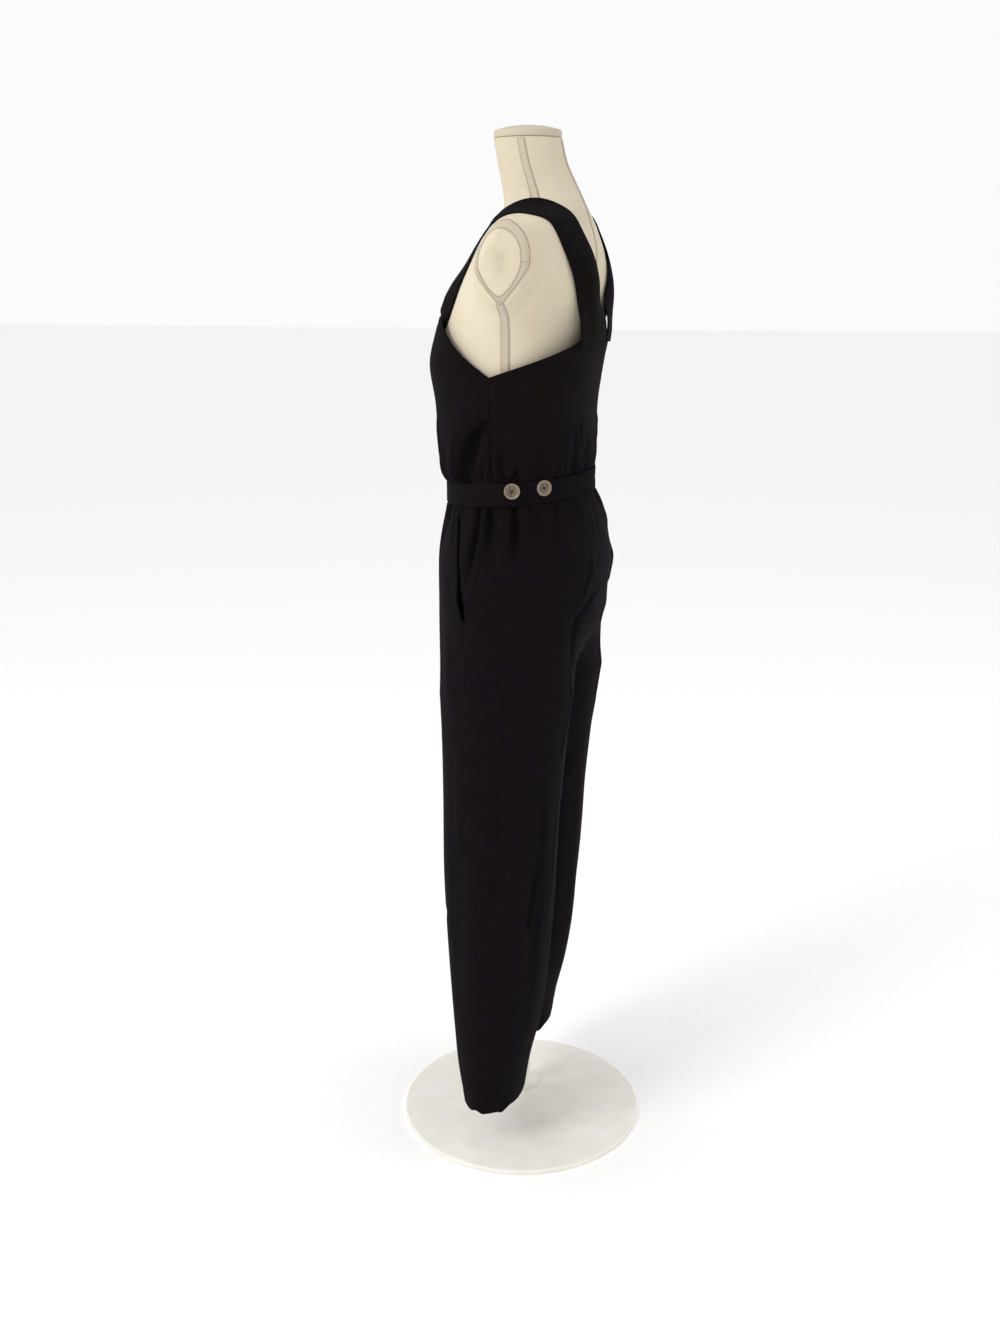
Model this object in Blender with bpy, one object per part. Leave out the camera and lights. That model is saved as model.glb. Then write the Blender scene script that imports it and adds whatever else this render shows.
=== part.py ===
"""Sleeveless jumpsuit with buttoned waist tabs, worn by a limbless dress form on a stand.

Metres, +Z up. The front faces -Y, the wearer's left is +X, and the origin is under the middle of the base.
Every cloth panel is a thin wall made from one of two surfaces: the bodice tube, and the trouser tube that
divides into two legs at the crotch. Angles round a section start at the wearer's left side and grow towards
the front, so 90 degrees is the centre front and -90 degrees the centre back.
"""

import math
from collections import namedtuple

import bmesh
import bpy
import numpy as np
from mathutils import Matrix, Vector
from mathutils.bvhtree import BVHTree

# ---------------------------------------------------------------- driving dimensions
WAIST_Z = 1.080  # middle of the waistband
CLOTH = 0.0015  # wall of one layer of cloth
STRAP_CLOTH = 0.0018  # a strap is two layers and an interfacing
STRAP_OFF_FORM, STRAP_MOST_OFF, STRAP_OFF_BODICE = 0.0028, 0.0036, 0.0016
CHEST_MIDDLE = Vector((0, 0.02, WAIST_Z + 0.20))
STRAP_RAMP = 0.020  # a strap's end stands off this far past the bodice's edge
PULL_FROM_Y = 0.06  # behind this the straps are pulled down to the form,
PULL_NONE, PULL_FULL = 0.250, 0.295  # growing over these heights above the waistband
BAND_CLOTH = 0.0018
SEAM_GAP = 0.0003  # between neighbouring pieces
NORMAL_STEP = 4e-4
STRAP_LEAST_X = SEAM_GAP / 2  # the straps meet down the centre back
BAND_WIDTH, BAND_HALF_BREADTH, BAND_HALF_DEPTH = 0.035, 0.1365, 0.1105
BAND_TILT = 0.07  # the band rises this much for each metre towards the back
TILT_REACH = 0.13  # the tilt fades to nothing this far above and below the band
CROTCH = -0.305  # heights below are measured from the middle of the waistband
RISE_CURVE = 0.120  # the rise bends inwards over this height above the crotch
SEAM_TURN = math.radians(13)  # down the legs the side seams run this far behind the side
HEM = -0.9945
RIGHT_HEM_LIFT = 0.035  # the right leg is hitched up this much
BUTTON_RADIUS = 0.0115
BUTTON_THICK = 0.0034
HOLE_RING, HOLE_RADIUS = 0.0019, 0.0009
BUTTON_RISE = 0.0055  # the buttons sit above the middle of the band
POLE_RADIUS, POLE_FOOT_RADIUS = 0.0125, 0.026
FLANGE_RADIUS, FLANGE_DROP = 0.040, 0.030
POLE_PLACE = (-0.055, -0.012)  # down the right leg
BASE_RADIUS = 0.200
BASE_THICK = 0.008
ARM_PLANE = 0.152  # the form's armholes are cut flat here
PLATE_PLACE = (0.018, 0.321)  # y and height of an arm plate's middle
PLATE_HALF_WIDE, PLATE_HALF_TALL = 0.038, 0.057
PLATE_EGG = 0.14  # the share by which its foot is narrower, and its top wider
# An arm plate from its back to its front: share of the outline, and distance out.
PLATE_PROFILE = [
    (1, 0), (1, 0.008), (0.985, 0.0105), (0.94, 0.0125), (0.85, 0.0135), (0.6, 0.0150), (0.3, 0.0158),
]

Section = namedtuple("Section", "height half_breadth centre_y half_depth squareness")
LegSection = namedtuple("LegSection", "height centre_x centre_y half_breadth half_depth")
Bump = namedtuple("Bump", "x height width tall reach")

# The dress form, from its bottom edge to the top of the neck.
FORM = [
    Section(-0.238, 0.148, 0.003, 0.090, 2.1),
    Section(-0.231, 0.162, 0.003, 0.101, 2.1),
    Section(-0.212, 0.170, 0.004, 0.109, 2.1),
    Section(-0.170, 0.173, 0.005, 0.112, 2.1),
    Section(-0.120, 0.165, 0.008, 0.113, 2.1),
    Section(-0.060, 0.144, 0.005, 0.106, 2.1),
    Section(0.000, 0.128, 0.000, 0.101, 2.0),
    Section(0.060, 0.131, -0.002, 0.099, 2.0),
    Section(0.120, 0.138, -0.002, 0.100, 2.1),
    Section(0.180, 0.144, -0.001, 0.101, 2.1),
    Section(0.230, 0.149, 0.002, 0.101, 2.1),
    Section(0.270, 0.161, 0.011, 0.097, 2.1),
    Section(0.310, 0.169, 0.0205, 0.0905, 1.9),
    Section(0.345, 0.170, 0.0290, 0.0820, 1.7),
    Section(0.362, 0.163, 0.0335, 0.0735, 1.7),
    Section(0.375, 0.142, 0.0370, 0.0660, 1.8),
    Section(0.385, 0.110, 0.0380, 0.0620, 1.9),
    Section(0.394, 0.083, 0.0375, 0.0595, 2.0),
    Section(0.408, 0.064, 0.0340, 0.0570, 2.0),
    Section(0.430, 0.055, 0.0265, 0.0535, 2.0),
    Section(0.455, 0.052, 0.018, 0.050, 2.0),
    Section(0.490, 0.050, 0.010, 0.049, 2.0),
]
# Soft swellings of the form: the bust in front and the shoulder blades behind.
BUST = Bump(x=0.076, height=0.178, width=0.042, tall=0.050, reach=0.024)
BLADE = Bump(x=0.055, height=0.270, width=0.034, tall=0.065, reach=0.020)

# The outside of the bodice, from the waistband's top edge up.
BODICE = [
    Section(0.0178, 0.1365, -0.001, 0.1085, 2.0),
    Section(0.030, 0.1400, -0.004, 0.1100, 2.0),
    Section(0.050, 0.1425, -0.005, 0.1120, 2.1),
    Section(0.085, 0.1455, -0.005, 0.1145, 2.2),
    Section(0.125, 0.1500, -0.005, 0.1160, 2.3),
    Section(0.185, 0.1530, -0.004, 0.1235, 2.4),
    Section(0.225, 0.1540, 0.004, 0.1230, 2.3),
    Section(0.250, 0.1550, 0.007, 0.1190, 2.2),
]
# The outside of the trousers above the crotch, from the waistband's lower edge down.
HIPS = [
    Section(-0.0178, 0.1365, 0.001, 0.1090, 2.0),
    Section(-0.035, 0.1450, 0.004, 0.1145, 2.0),
    Section(-0.060, 0.1560, 0.007, 0.1195, 2.1),
    Section(-0.090, 0.1680, 0.008, 0.1240, 2.1),
    Section(-0.120, 0.1760, 0.009, 0.1265, 2.1),
    Section(-0.150, 0.1815, 0.007, 0.1250, 2.1),
    Section(-0.185, 0.1850, 0.005, 0.1230, 2.1),
    Section(-0.230, 0.1875, 0.004, 0.1220, 2.1),
    Section(-0.305, 0.1870, 0.003, 0.1150, 2.1),
]
# The outside of the left leg. At the crotch its half breadth equals its centre, so both legs meet there.
LEG = [
    LegSection(-0.305, 0.0935, 0.003, 0.0935, 0.1030),
    LegSection(-0.360, 0.0935, 0.000, 0.0900, 0.0980),
    LegSection(-0.420, 0.0930, -0.003, 0.0880, 0.0940),
    LegSection(-0.500, 0.0925, -0.007, 0.0870, 0.0895),
    LegSection(-0.600, 0.0920, -0.010, 0.0860, 0.0865),
    LegSection(-0.700, 0.0920, -0.0115, 0.0850, 0.0815),
    LegSection(-0.800, 0.0915, -0.013, 0.0840, 0.0750),
    LegSection(-0.870, 0.0915, -0.016, 0.0830, 0.0670),
    LegSection(-0.930, 0.0915, -0.020, 0.0815, 0.0575),
    LegSection(HEM, 0.0915, -0.020, 0.0795, 0.0465),
]

# The bodice's top edge: angle in degrees and height, from the side seam to the centre.
EdgeCorner = namedtuple("EdgeCorner", "angle height")
FRONT_EDGE = [
    EdgeCorner(0, 0.167),
    EdgeCorner(43, 0.244),
    EdgeCorner(66, 0.246),
    EdgeCorner(90, 0.238),
]
BACK_EDGE = [
    EdgeCorner(0, 0.167),
    EdgeCorner(-51, 0.213),
    EdgeCorner(-53, 0.226),
    EdgeCorner(-90, 0.228),
]

# The largest folds. side is the place round a quarter of the hip, 0 at the side seam and 1 at the centre;
# top and bottom are heights, depth is positive for a ridge, and drift moves the fold's lower end round.
Fold = namedtuple("Fold", "side top bottom width depth drift")
FRONT_FOLDS = [
    Fold(0.045, -0.020, -0.080, 0.022, -0.0028, 0.02),
    Fold(0.090, -0.020, -0.170, 0.022, 0.0028, 0.05),
    Fold(0.135, -0.020, -0.130, 0.024, -0.0035, 0.02),
    Fold(0.40, -0.020, -0.100, 0.028, 0.0026, -0.03),
    Fold(0.50, -0.020, -0.110, 0.032, -0.0032, 0.12),
    Fold(0.64, -0.020, -0.190, 0.040, 0.0028, 0.03),
    Fold(0.78, -0.020, -0.120, 0.032, -0.0028, -0.02),
]
BACK_FOLDS = [
    Fold(0.12, -0.020, -0.090, 0.026, -0.0030, -0.03),
    Fold(0.26, -0.020, -0.080, 0.030, -0.0018, 0.00),
    Fold(0.40, -0.020, -0.100, 0.032, -0.0022, -0.04),
    Fold(0.62, -0.020, -0.080, 0.028, -0.0022, 0.00),
    Fold(0.84, -0.020, -0.100, 0.030, -0.0024, 0.00),
]
LEG_FOLDS = [
    Fold(0.12, -0.340, -0.960, 0.060, 0.0030, 0.03),
    Fold(0.30, -0.380, -0.900, 0.060, -0.0030, -0.04),
    Fold(0.52, -0.330, -0.980, 0.070, 0.0035, 0.00),
    Fold(0.76, -0.420, -0.960, 0.060, -0.0025, 0.03),
]

# The left strap's middle line, front end to back end: it runs over the chest, the shoulder and the blade.
StrapPoint = namedtuple("StrapPoint", "x y height half_width")
STRAP = [
    StrapPoint(0.0730, -0.1010, 0.2330, 0.0215),
    StrapPoint(0.0740, -0.0910, 0.2600, 0.0215),
    StrapPoint(0.0755, -0.0730, 0.3000, 0.0215),
    StrapPoint(0.0770, -0.0480, 0.3400, 0.0215),
    StrapPoint(0.0785, -0.0180, 0.3760, 0.0215),
    StrapPoint(0.0805, 0.0110, 0.3950, 0.0220),
    StrapPoint(0.0825, 0.0400, 0.3970, 0.0235),
    StrapPoint(0.0820, 0.0710, 0.3850, 0.0255),
    StrapPoint(0.0780, 0.0930, 0.3610, 0.0275),
    StrapPoint(0.0710, 0.1070, 0.3320, 0.0290),
    StrapPoint(0.0610, 0.1170, 0.3000, 0.0315),
    StrapPoint(0.0515, 0.1200, 0.2650, 0.0385),
    StrapPoint(0.0450, 0.1190, 0.2350, 0.0445),
    StrapPoint(0.0435, 0.1195, 0.2080, 0.0430),
]

# The pocket mouth, as places round a quarter of the hip.
MOUTH_TOP, MOUTH_FOOT, BAG_FOOT = -0.030, -0.183, -0.277
MOUTH_TOP_SIDE, MOUTH_FOOT_SIDE = 0.33, 0.15
MOUTH_LEAST, MOUTH_GAPE = 0.012, 0.042  # how far the mouth stands open, as a share of the quarter
BAG_GAP = 0.0005
MOUTH_COLUMN = 3  # the cell of a front panel's row that the pocket mouth leaves out
BAG_COLUMNS = slice(1, 12)
SIDE_SEAM = 0.0008  # the share of a quarter that a seam's gap takes at each of its edges

TAB_END = -18.5  # degrees: the front waistband's tab ends behind the side seam
BACK_BAND_START = -7
TAB_BUTTON, SPARE_BUTTON = -10, -30

BLACK = ("cloth_black", (0.012, 0.011, 0.013), 0.85, 0.0)
ECRU = ("form_cloth", (0.62, 0.55, 0.45), 0.8, 0.0)
HORN = ("button_horn", (0.30, 0.24, 0.16), 0.35, 0.0)
CREAM = ("stand_enamel", (0.80, 0.78, 0.74), 0.4, 0.0)


# ---------------------------------------------------------------- scene and materials
def clear_scene():
    for obj in list(bpy.data.objects):
        bpy.data.objects.remove(obj)


def material(name, colour, roughness, metallic):
    found = bpy.data.materials.get(name)
    if found:
        return found
    made = bpy.data.materials.new(name)
    made.use_nodes = True
    shader = made.node_tree.nodes["Principled BSDF"]
    shader.inputs["Base Color"].default_value = (*colour, 1.0)
    shader.inputs["Roughness"].default_value = roughness
    shader.inputs["Metallic"].default_value = metallic
    made.diffuse_color = (*colour, 1.0)
    return made


def make_object(name, mesh, finish, smooth_angle=math.radians(40)):
    obj = bpy.data.objects.new(name, mesh)
    bpy.context.scene.collection.objects.link(obj)
    mesh.materials.append(material(*finish))
    mesh.shade_smooth()
    mesh.set_sharp_from_angle(angle=smooth_angle)
    return obj


# ---------------------------------------------------------------- reading the tables
def read_at(table, height):
    """The table's row at a height, each column on a smooth curve through its values."""
    rows = sorted(table, key=lambda row: row.height)
    heights = np.array([row.height for row in rows])
    height = float(np.clip(height, heights[0], heights[-1]))
    i = int(np.clip(np.searchsorted(heights, height) - 1, 0, len(rows) - 2))
    values = np.array(rows, float)
    slopes = np.gradient(values, heights, axis=0)
    step = heights[i + 1] - heights[i]
    t = (height - heights[i]) / step
    blend = (2 * t**3 - 3 * t**2 + 1) * values[i] + (3 * t**2 - 2 * t**3) * values[i + 1]
    blend += step * ((t**3 - 2 * t**2 + t) * slopes[i] + (t**3 - t**2) * slopes[i + 1])
    return type(rows[0])(*blend)


def smooth_step(value, start, end):
    t = min(max((value - start) / (end - start), 0.0), 1.0)
    return t * t * (3 - 2 * t)


def bell(distance, width):
    return math.exp(-((distance / width) ** 2))


def tilt_lift(y, height):
    """How far the slope of the waistband raises a point of the cloth."""
    return BAND_TILT * y * (1 - smooth_step(abs(height), 0.02, TILT_REACH))


# ---------------------------------------------------------------- surfaces
def rounded(section, angle):
    """x and y on a rounded section, at a polar angle."""
    c, s = math.cos(angle), math.sin(angle)
    n = section.squareness
    reach = (abs(c / section.half_breadth) ** n + abs(s / section.half_depth) ** n) ** (-1 / n)
    return reach * c, section.centre_y - reach * s


def form_point(angle, height):
    x, y = rounded(read_at(FORM, height), angle)
    x = min(max(x, -ARM_PLANE), ARM_PLANE)
    for bump, way in ((BUST, -1), (BLADE, 1)):
        if y * way > 0:
            swell = bell(abs(x) - bump.x, bump.width) * bell(height - bump.height, bump.tall)
            y += way * bump.reach * swell
    return Vector((x, y, WAIST_Z + height))


def bodice_point(angle, height):
    x, y = rounded(read_at(BODICE, height), angle)
    return Vector((x, y, WAIST_Z + height + tilt_lift(y, height)))


def leg_scale(height, lift):
    """Height on the left leg that this height on a hitched-up leg stands for."""
    length = CROTCH - HEM
    return height if height > CROTCH else CROTCH + (height - CROTCH) * length / (length - lift)


def fold_depth(folds, side, height):
    depth = 0.0
    for fold in folds:
        along = (fold.top - height) / (fold.top - fold.bottom)
        if 0 <= along <= 1:
            place = fold.side + fold.drift * along
            spread = fold.width * (1 + 0.8 * along)
            depth += fold.depth * bell(side - place, spread) * (1 - smooth_step(along, 0.35, 1.0))
    return depth


def leg_fold_depth(side, height):
    depth = 0.0
    for fold in LEG_FOLDS:
        along = (fold.top - height) / (fold.top - fold.bottom)
        if 0 <= along <= 1:
            rise = math.sin(math.pi * along) ** 1.5
            depth += fold.depth * bell(side - fold.side - fold.drift * along, fold.width) * rise
    return depth


def trouser_point(side, height, front, lift=0.0):
    """The left half of the trousers. side runs from 0 at the side seam to 1 at the centre or the inseam."""
    height = max(height, HEM + lift)
    same = leg_scale(height, lift)
    hips = read_at(HIPS, max(same, CROTCH))
    leg = read_at(LEG, min(same, CROTCH))
    way = 1 if front else -1
    hip_x, hip_y = rounded(hips, way * side * math.pi / 2)
    turn = way * side * math.pi - SEAM_TURN * (1 - side)
    leg_x = leg.centre_x + leg.half_breadth * math.cos(turn)
    leg_y = leg.centre_y - leg.half_depth * math.sin(turn)
    above = min(max((same - CROTCH) / RISE_CURVE, 0.0), 1.0)
    round_share = 1 - math.sqrt(max(1 - (1 - above) ** 2, 0.0))
    share = smooth_step(1 - above, 0, 1)
    share += side**2 * (round_share - share)
    x, y = hip_x + share * (leg_x - hip_x), hip_y + share * (leg_y - hip_y)
    out = Vector((x - share * leg.centre_x, y - hips.centre_y)).normalized()
    depth = fold_depth(FRONT_FOLDS if front else BACK_FOLDS, side, same) + leg_fold_depth(side, same)
    x, y = x + out.x * depth, y + out.y * depth
    return Vector((max(x, SEAM_GAP / 2), y, WAIST_Z + height + tilt_lift(y, height)))


def mirrored(point):
    return Vector((-point.x, point.y, point.z))


# ---------------------------------------------------------------- walls
def grid_normals(rows):
    """Outward normals of a grid of points, by the difference of each point's neighbours."""
    points = np.array([[tuple(p) for p in row] for row in rows])
    across = np.gradient(points, axis=1)
    along = np.gradient(points, axis=0)
    normals = np.cross(across, along)
    normals /= np.maximum(np.linalg.norm(normals, axis=2, keepdims=True), 1e-12)
    return [[Vector(n) for n in row] for row in normals]


def wall(name, outer, inner, finish, left_out=()):
    """A closed wall between two grids of points, without the cells that left_out names by row and column.

    Both faces of a cell are split along the same diagonal, so the wall keeps its thickness across a fold.
    """
    bm = bmesh.new()
    out = [[bm.verts.new(p) for p in row] for row in outer]
    back = [[bm.verts.new(p) for p in row] for row in inner]
    cells = [
        (i, j)
        for i in range(len(outer) - 1)
        for j in range(len(outer[0]) - 1)
        if (i, j) not in left_out
    ]
    edges = {}
    for i, j in cells:
        corners = [(i, j), (i, j + 1), (i + 1, j + 1), (i + 1, j)]
        for half in (corners[:3], [corners[0], *corners[2:]]):
            bm.faces.new([out[r][c] for r, c in half])
            bm.faces.new([back[r][c] for r, c in reversed(half)])
        for a, b in zip(corners, corners[1:] + corners[:1]):
            if (b, a) in edges:
                del edges[(b, a)]
            else:
                edges[(a, b)] = True
    for a, b in edges:
        bm.faces.new([out[b[0]][b[1]], out[a[0]][a[1]], back[a[0]][a[1]], back[b[0]][b[1]]])
    loose = [v for v in bm.verts if not v.link_faces]
    bmesh.ops.delete(bm, geom=loose, context="VERTS")
    bmesh.ops.recalc_face_normals(bm, faces=bm.faces)
    mesh = bpy.data.meshes.new(name)
    bm.to_mesh(mesh)
    bm.free()
    return make_object(name, mesh, finish)


def surface_normal(point_at, u, v):
    """Normal of point_at(u, v), the same for both of the panels that meet at a seam."""
    du = point_at(u + NORMAL_STEP, v) - point_at(u - NORMAL_STEP, v)
    dv = point_at(u, v + NORMAL_STEP) - point_at(u, v - NORMAL_STEP)
    return du.cross(dv).normalized()


# ---------------------------------------------------------------- dress form and stand
def dress_form():
    """The form's solid: rings from the bottom edge to the neck, closed by a flat bottom and top."""
    turns = 36
    foot, top = FORM[0].height, FORM[-1].height
    heights = [foot, foot + 0.003, foot + 0.009, foot + 0.020, foot + 0.040]
    heights += list(np.linspace(-0.160, 0.120, 7))[:-1]
    heights += list(np.linspace(0.120, 0.330, 11))[:-1]
    heights += [0.330, 0.348, 0.364, 0.377, 0.387, 0.395, 0.404, 0.416, 0.434, 0.460, top]
    bm = bmesh.new()
    rings = []
    for height in heights:
        angles = [2 * math.pi * k / turns for k in range(turns)]
        rings.append([bm.verts.new(form_point(angle, height)) for angle in angles])
    for low, high in zip(rings, rings[1:]):
        for k in range(turns):
            bm.faces.new([low[k], high[k], high[(k + 1) % turns], low[(k + 1) % turns]])
    bm.faces.new(rings[0])
    bm.faces.new(list(reversed(rings[-1])))
    bmesh.ops.recalc_face_normals(bm, faces=bm.faces)
    mesh = bpy.data.meshes.new("form_body")
    bm.to_mesh(mesh)
    bm.free()
    return make_object("form_body", mesh, ECRU)


def turned(name, profile, place, finish, turns=32):
    """A solid of revolution about a vertical axis, from radius and height pairs, bottom to top."""
    bm = bmesh.new()
    line = [bm.verts.new((radius, 0, height)) for radius, height in profile]
    edges = [bm.edges.new(pair) for pair in zip(line, line[1:])]
    about = {"cent": (0, 0, 0), "axis": (0, 0, 1), "angle": 2 * math.pi}
    bmesh.ops.spin(bm, geom=line + edges, steps=turns, use_merge=True, **about)
    bmesh.ops.remove_doubles(bm, verts=bm.verts, dist=1e-6)
    bmesh.ops.recalc_face_normals(bm, faces=bm.faces)
    bmesh.ops.translate(bm, verts=bm.verts, vec=place)
    mesh = bpy.data.meshes.new(name)
    bm.to_mesh(mesh)
    bm.free()
    return make_object(name, mesh, finish, math.radians(30))


def stand():
    """The neck cap, and under the form a flange, a pole with a foot, and a weighted base."""
    form_foot = WAIST_Z + FORM[0].height
    neck = FORM[-1]
    cap = neck.half_breadth - 0.0015
    turned("form_neck_cap", [
        (0, 0), (cap - 0.0025, 0), (cap, 0.002), (cap, 0.008), (cap - 0.0025, 0.012), (0.030, 0.016),
        (0, 0.018),
    ], (0, neck.centre_y, WAIST_Z + neck.height + SEAM_GAP), ECRU)
    collar, plate = 0.020, FLANGE_RADIUS
    turned("stand_flange", [
        (0, 0), (collar - 0.002, 0), (collar, 0.002), (collar, 0.021), (plate, 0.025), (plate, FLANGE_DROP),
        (0, FLANGE_DROP),
    ], (*POLE_PLACE, form_foot - SEAM_GAP - FLANGE_DROP), CREAM)
    pole_top = form_foot - 2 * SEAM_GAP - FLANGE_DROP
    pole_foot = BASE_THICK + SEAM_GAP
    turned("stand_pole", [
        (0, pole_foot), (POLE_FOOT_RADIUS, pole_foot), (POLE_FOOT_RADIUS, pole_foot + 0.006),
        (POLE_RADIUS + 0.0035, pole_foot + 0.020), (POLE_RADIUS, pole_foot + 0.024),
        (POLE_RADIUS, pole_top), (0, pole_top),
    ], (*POLE_PLACE, 0), CREAM, turns=24)
    turned("stand_base", [
        (0, 0), (BASE_RADIUS - 0.001, 0), (BASE_RADIUS, 0.001), (BASE_RADIUS, BASE_THICK - 0.003),
        (BASE_RADIUS - 0.003, BASE_THICK), (0, BASE_THICK),
    ], (0, 0, 0), CREAM, turns=48)


def surface_tree(obj):
    mesh = obj.data
    return BVHTree.FromPolygons([v.co for v in mesh.vertices], [tuple(p.vertices) for p in mesh.polygons])


def arm_plate(name, side):
    """The padded plate on the flat of the form's armhole: egg-shaped, wide end up, with a rounded rim."""
    turns = 28
    back = ARM_PLANE + SEAM_GAP
    bm = bmesh.new()
    rings = []
    for share, out in PLATE_PROFILE:
        ring = []
        for k in range(turns):
            angle = 2 * math.pi * k / turns
            narrow = 1 + PLATE_EGG * math.sin(angle)
            y = PLATE_PLACE[0] + share * PLATE_HALF_WIDE * math.cos(angle) * narrow
            z = WAIST_Z + PLATE_PLACE[1] + share * PLATE_HALF_TALL * math.sin(angle)
            ring.append(bm.verts.new((side * (back + out), y, z)))
        rings.append(ring)
    for low, high in zip(rings, rings[1:]):
        for k in range(turns):
            bm.faces.new([low[k], low[(k + 1) % turns], high[(k + 1) % turns], high[k]])
    bm.faces.new(rings[0])
    bm.faces.new(list(reversed(rings[-1])))
    bmesh.ops.recalc_face_normals(bm, faces=bm.faces)
    mesh = bpy.data.meshes.new(name)
    bm.to_mesh(mesh)
    bm.free()
    return make_object(name, mesh, ECRU)


# ---------------------------------------------------------------- bodice
def edge_height(edge, angle):
    """Height of the bodice's top edge at an angle in degrees."""
    angles = [abs(corner.angle) for corner in edge]
    return float(np.interp(abs(angle), angles, [corner.height for corner in edge]))


def bodice_panel(name, edge, angles):
    """A panel from the waistband to its top edge. Angles in degrees run from side seam to side seam."""
    shares = [0, 0.035, 0.09, 0.18, 0.30, 0.44, 0.58, 0.72, 0.86, 1]
    foot = BODICE[0].height + SEAM_GAP
    sign = 1 if edge is FRONT_EDGE else -1
    outer, inner = [], []
    for share in shares:
        out_row, in_row = [], []
        for angle in angles:
            reach = angle if angle <= 90 else 180 - angle
            top = edge_height(edge, reach)
            height = foot + share * (top - foot)
            turn = math.radians(sign * angle)
            normal = surface_normal(bodice_point, turn, height)
            point = bodice_point(turn, height)
            if normal.dot(point - Vector((0, 0, point.z))) < 0:
                normal = -normal
            out_row.append(point)
            in_row.append(point - normal * CLOTH)
        outer.append(out_row)
        inner.append(in_row)
    return wall(name, outer, inner, BLACK)


def bodice():
    half_gap = math.degrees(SEAM_GAP / 2 / BODICE[4].half_breadth)
    front = [half_gap, 8, 16, 25, 34, 43, 51, 58.5, 66, 74, 82, 90]
    back = [half_gap, 9, 18, 27, 36, 45, 54, 56, 67, 78, 90]
    front += [180 - angle for angle in reversed(front[:-1])]
    back += [180 - angle for angle in reversed(back[:-1])]
    bodice_panel("bodice_front", FRONT_EDGE, front)
    bodice_panel("bodice_back", BACK_EDGE, back)


# ---------------------------------------------------------------- straps
def catmull(rows, t):
    """The table's row at t, from 0 at its first row to 1 at its last, on a smooth curve."""
    values = np.array(rows, float)
    place = t * (len(rows) - 1)
    i = min(int(place), len(rows) - 2)
    f = place - i
    before = values[max(i - 1, 0)]
    after = values[min(i + 2, len(rows) - 1)]
    here, there = values[i], values[i + 1]
    curve = 2 * here + (there - before) * f + (2 * before - 5 * here + 4 * there - after) * f**2
    curve += (3 * here - before - 3 * there + after) * f**3
    return type(rows[0])(*(0.5 * curve))


def off_form(point, form_tree):
    """The point, moved clear of the form, or down to it on the back, where the strap is pulled close."""
    near, normal, _, _ = form_tree.find_nearest(point)
    off = (point - near).dot(normal)
    if point.y > PULL_FROM_Y:
        pull = smooth_step(point.z - WAIST_Z, PULL_NONE, PULL_FULL)
        off -= pull * max(off - STRAP_MOST_OFF, 0)
    return near + normal * max(off, STRAP_OFF_FORM)


def off_bodice(point):
    """The point, moved out of the bodice where a strap's end lies on it."""
    height = point.z - WAIST_Z
    section = read_at(BODICE, height)
    angle = math.atan2(section.centre_y - point.y, point.x)
    edge = FRONT_EDGE if angle > 0 else BACK_EDGE
    if height > edge_height(edge, math.degrees(angle)) + STRAP_RAMP:
        return point
    cloth = bodice_point(angle, height)
    axis = Vector((0, section.centre_y, cloth.z))
    out = (cloth - axis).normalized()
    short = (cloth - axis).length + STRAP_OFF_BODICE - (point - axis).dot(out)
    return point + out * max(short, 0)


def strap(name, side, form_tree):
    """A ribbon pushed clear of the form, and of the bodice where its ends lie on it."""
    stations, across = 24, 5
    lines = []
    for k in range(stations + 1):
        here = catmull(STRAP, k / stations)
        ahead = catmull(STRAP, min(k / stations + 0.01, 1))
        behind = catmull(STRAP, max(k / stations - 0.01, 0))
        centre = Vector((here.x, here.y, WAIST_Z + here.height))
        along = Vector((ahead.x - behind.x, ahead.y - behind.y, ahead.height - behind.height)).normalized()
        normal = form_tree.find_nearest(centre)[1]
        widthways = along.cross(normal).normalized()
        if widthways.x < 0:
            widthways = -widthways
        shares = np.linspace(-1, 1, across)
        lines.append([centre + widthways * (here.half_width * share) for share in shares])
    for _ in range(6):
        grid = np.array([[tuple(point) for point in row] for row in lines])
        grid[1:-1] = (grid[:-2] + 2 * grid[1:-1] + grid[2:]) / 4
        grid[:, :, 0] = np.maximum(grid[:, :, 0], STRAP_LEAST_X)
        lines = [[off_bodice(off_form(Vector(point), form_tree)) for point in row] for row in grid]
    inner, outer = [], []
    for row, normals in zip(lines, grid_normals(lines)):
        middle = across // 2
        facing = 1 if normals[middle].dot(row[middle] - CHEST_MIDDLE) > 0 else -1
        inner.append(row)
        outer.append([point + normal * facing * STRAP_CLOTH for point, normal in zip(row, normals)])
    for row in inner + outer:
        for point in row:
            point.x = max(point.x, STRAP_LEAST_X)
    if side < 0:
        inner = [[mirrored(p) for p in row] for row in inner]
        outer = [[mirrored(p) for p in row] for row in outer]
    return wall(name, outer, inner, BLACK)


# ---------------------------------------------------------------- waistband
def band_point(angle, rise, out):
    """A point of the waistband: polar angle, height from its middle, and distance from its inside."""
    out -= BAND_CLOTH
    section = Section(0, BAND_HALF_BREADTH + out, 0.0, BAND_HALF_DEPTH + out, 2.0)
    x, y = rounded(section, math.radians(angle))
    return Vector((x, y, WAIST_Z + rise + BAND_TILT * y))


def band(name, angles, lift_at, half_width_at):
    """A band's wall, along the angles. lift_at gives how far out it lies, half_width_at how wide it is."""
    rows = 3
    outer, inner = [], []
    for i in range(rows):
        share = 2 * i / (rows - 1) - 1
        in_row, out_row = [], []
        for angle in angles:
            rise = share * half_width_at(angle)
            in_row.append(band_point(angle, rise, lift_at(angle)))
            out_row.append(band_point(angle, rise, lift_at(angle) + BAND_CLOTH))
        inner.append(in_row)
        outer.append(out_row)
    return wall(name, outer, inner, BLACK)


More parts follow.
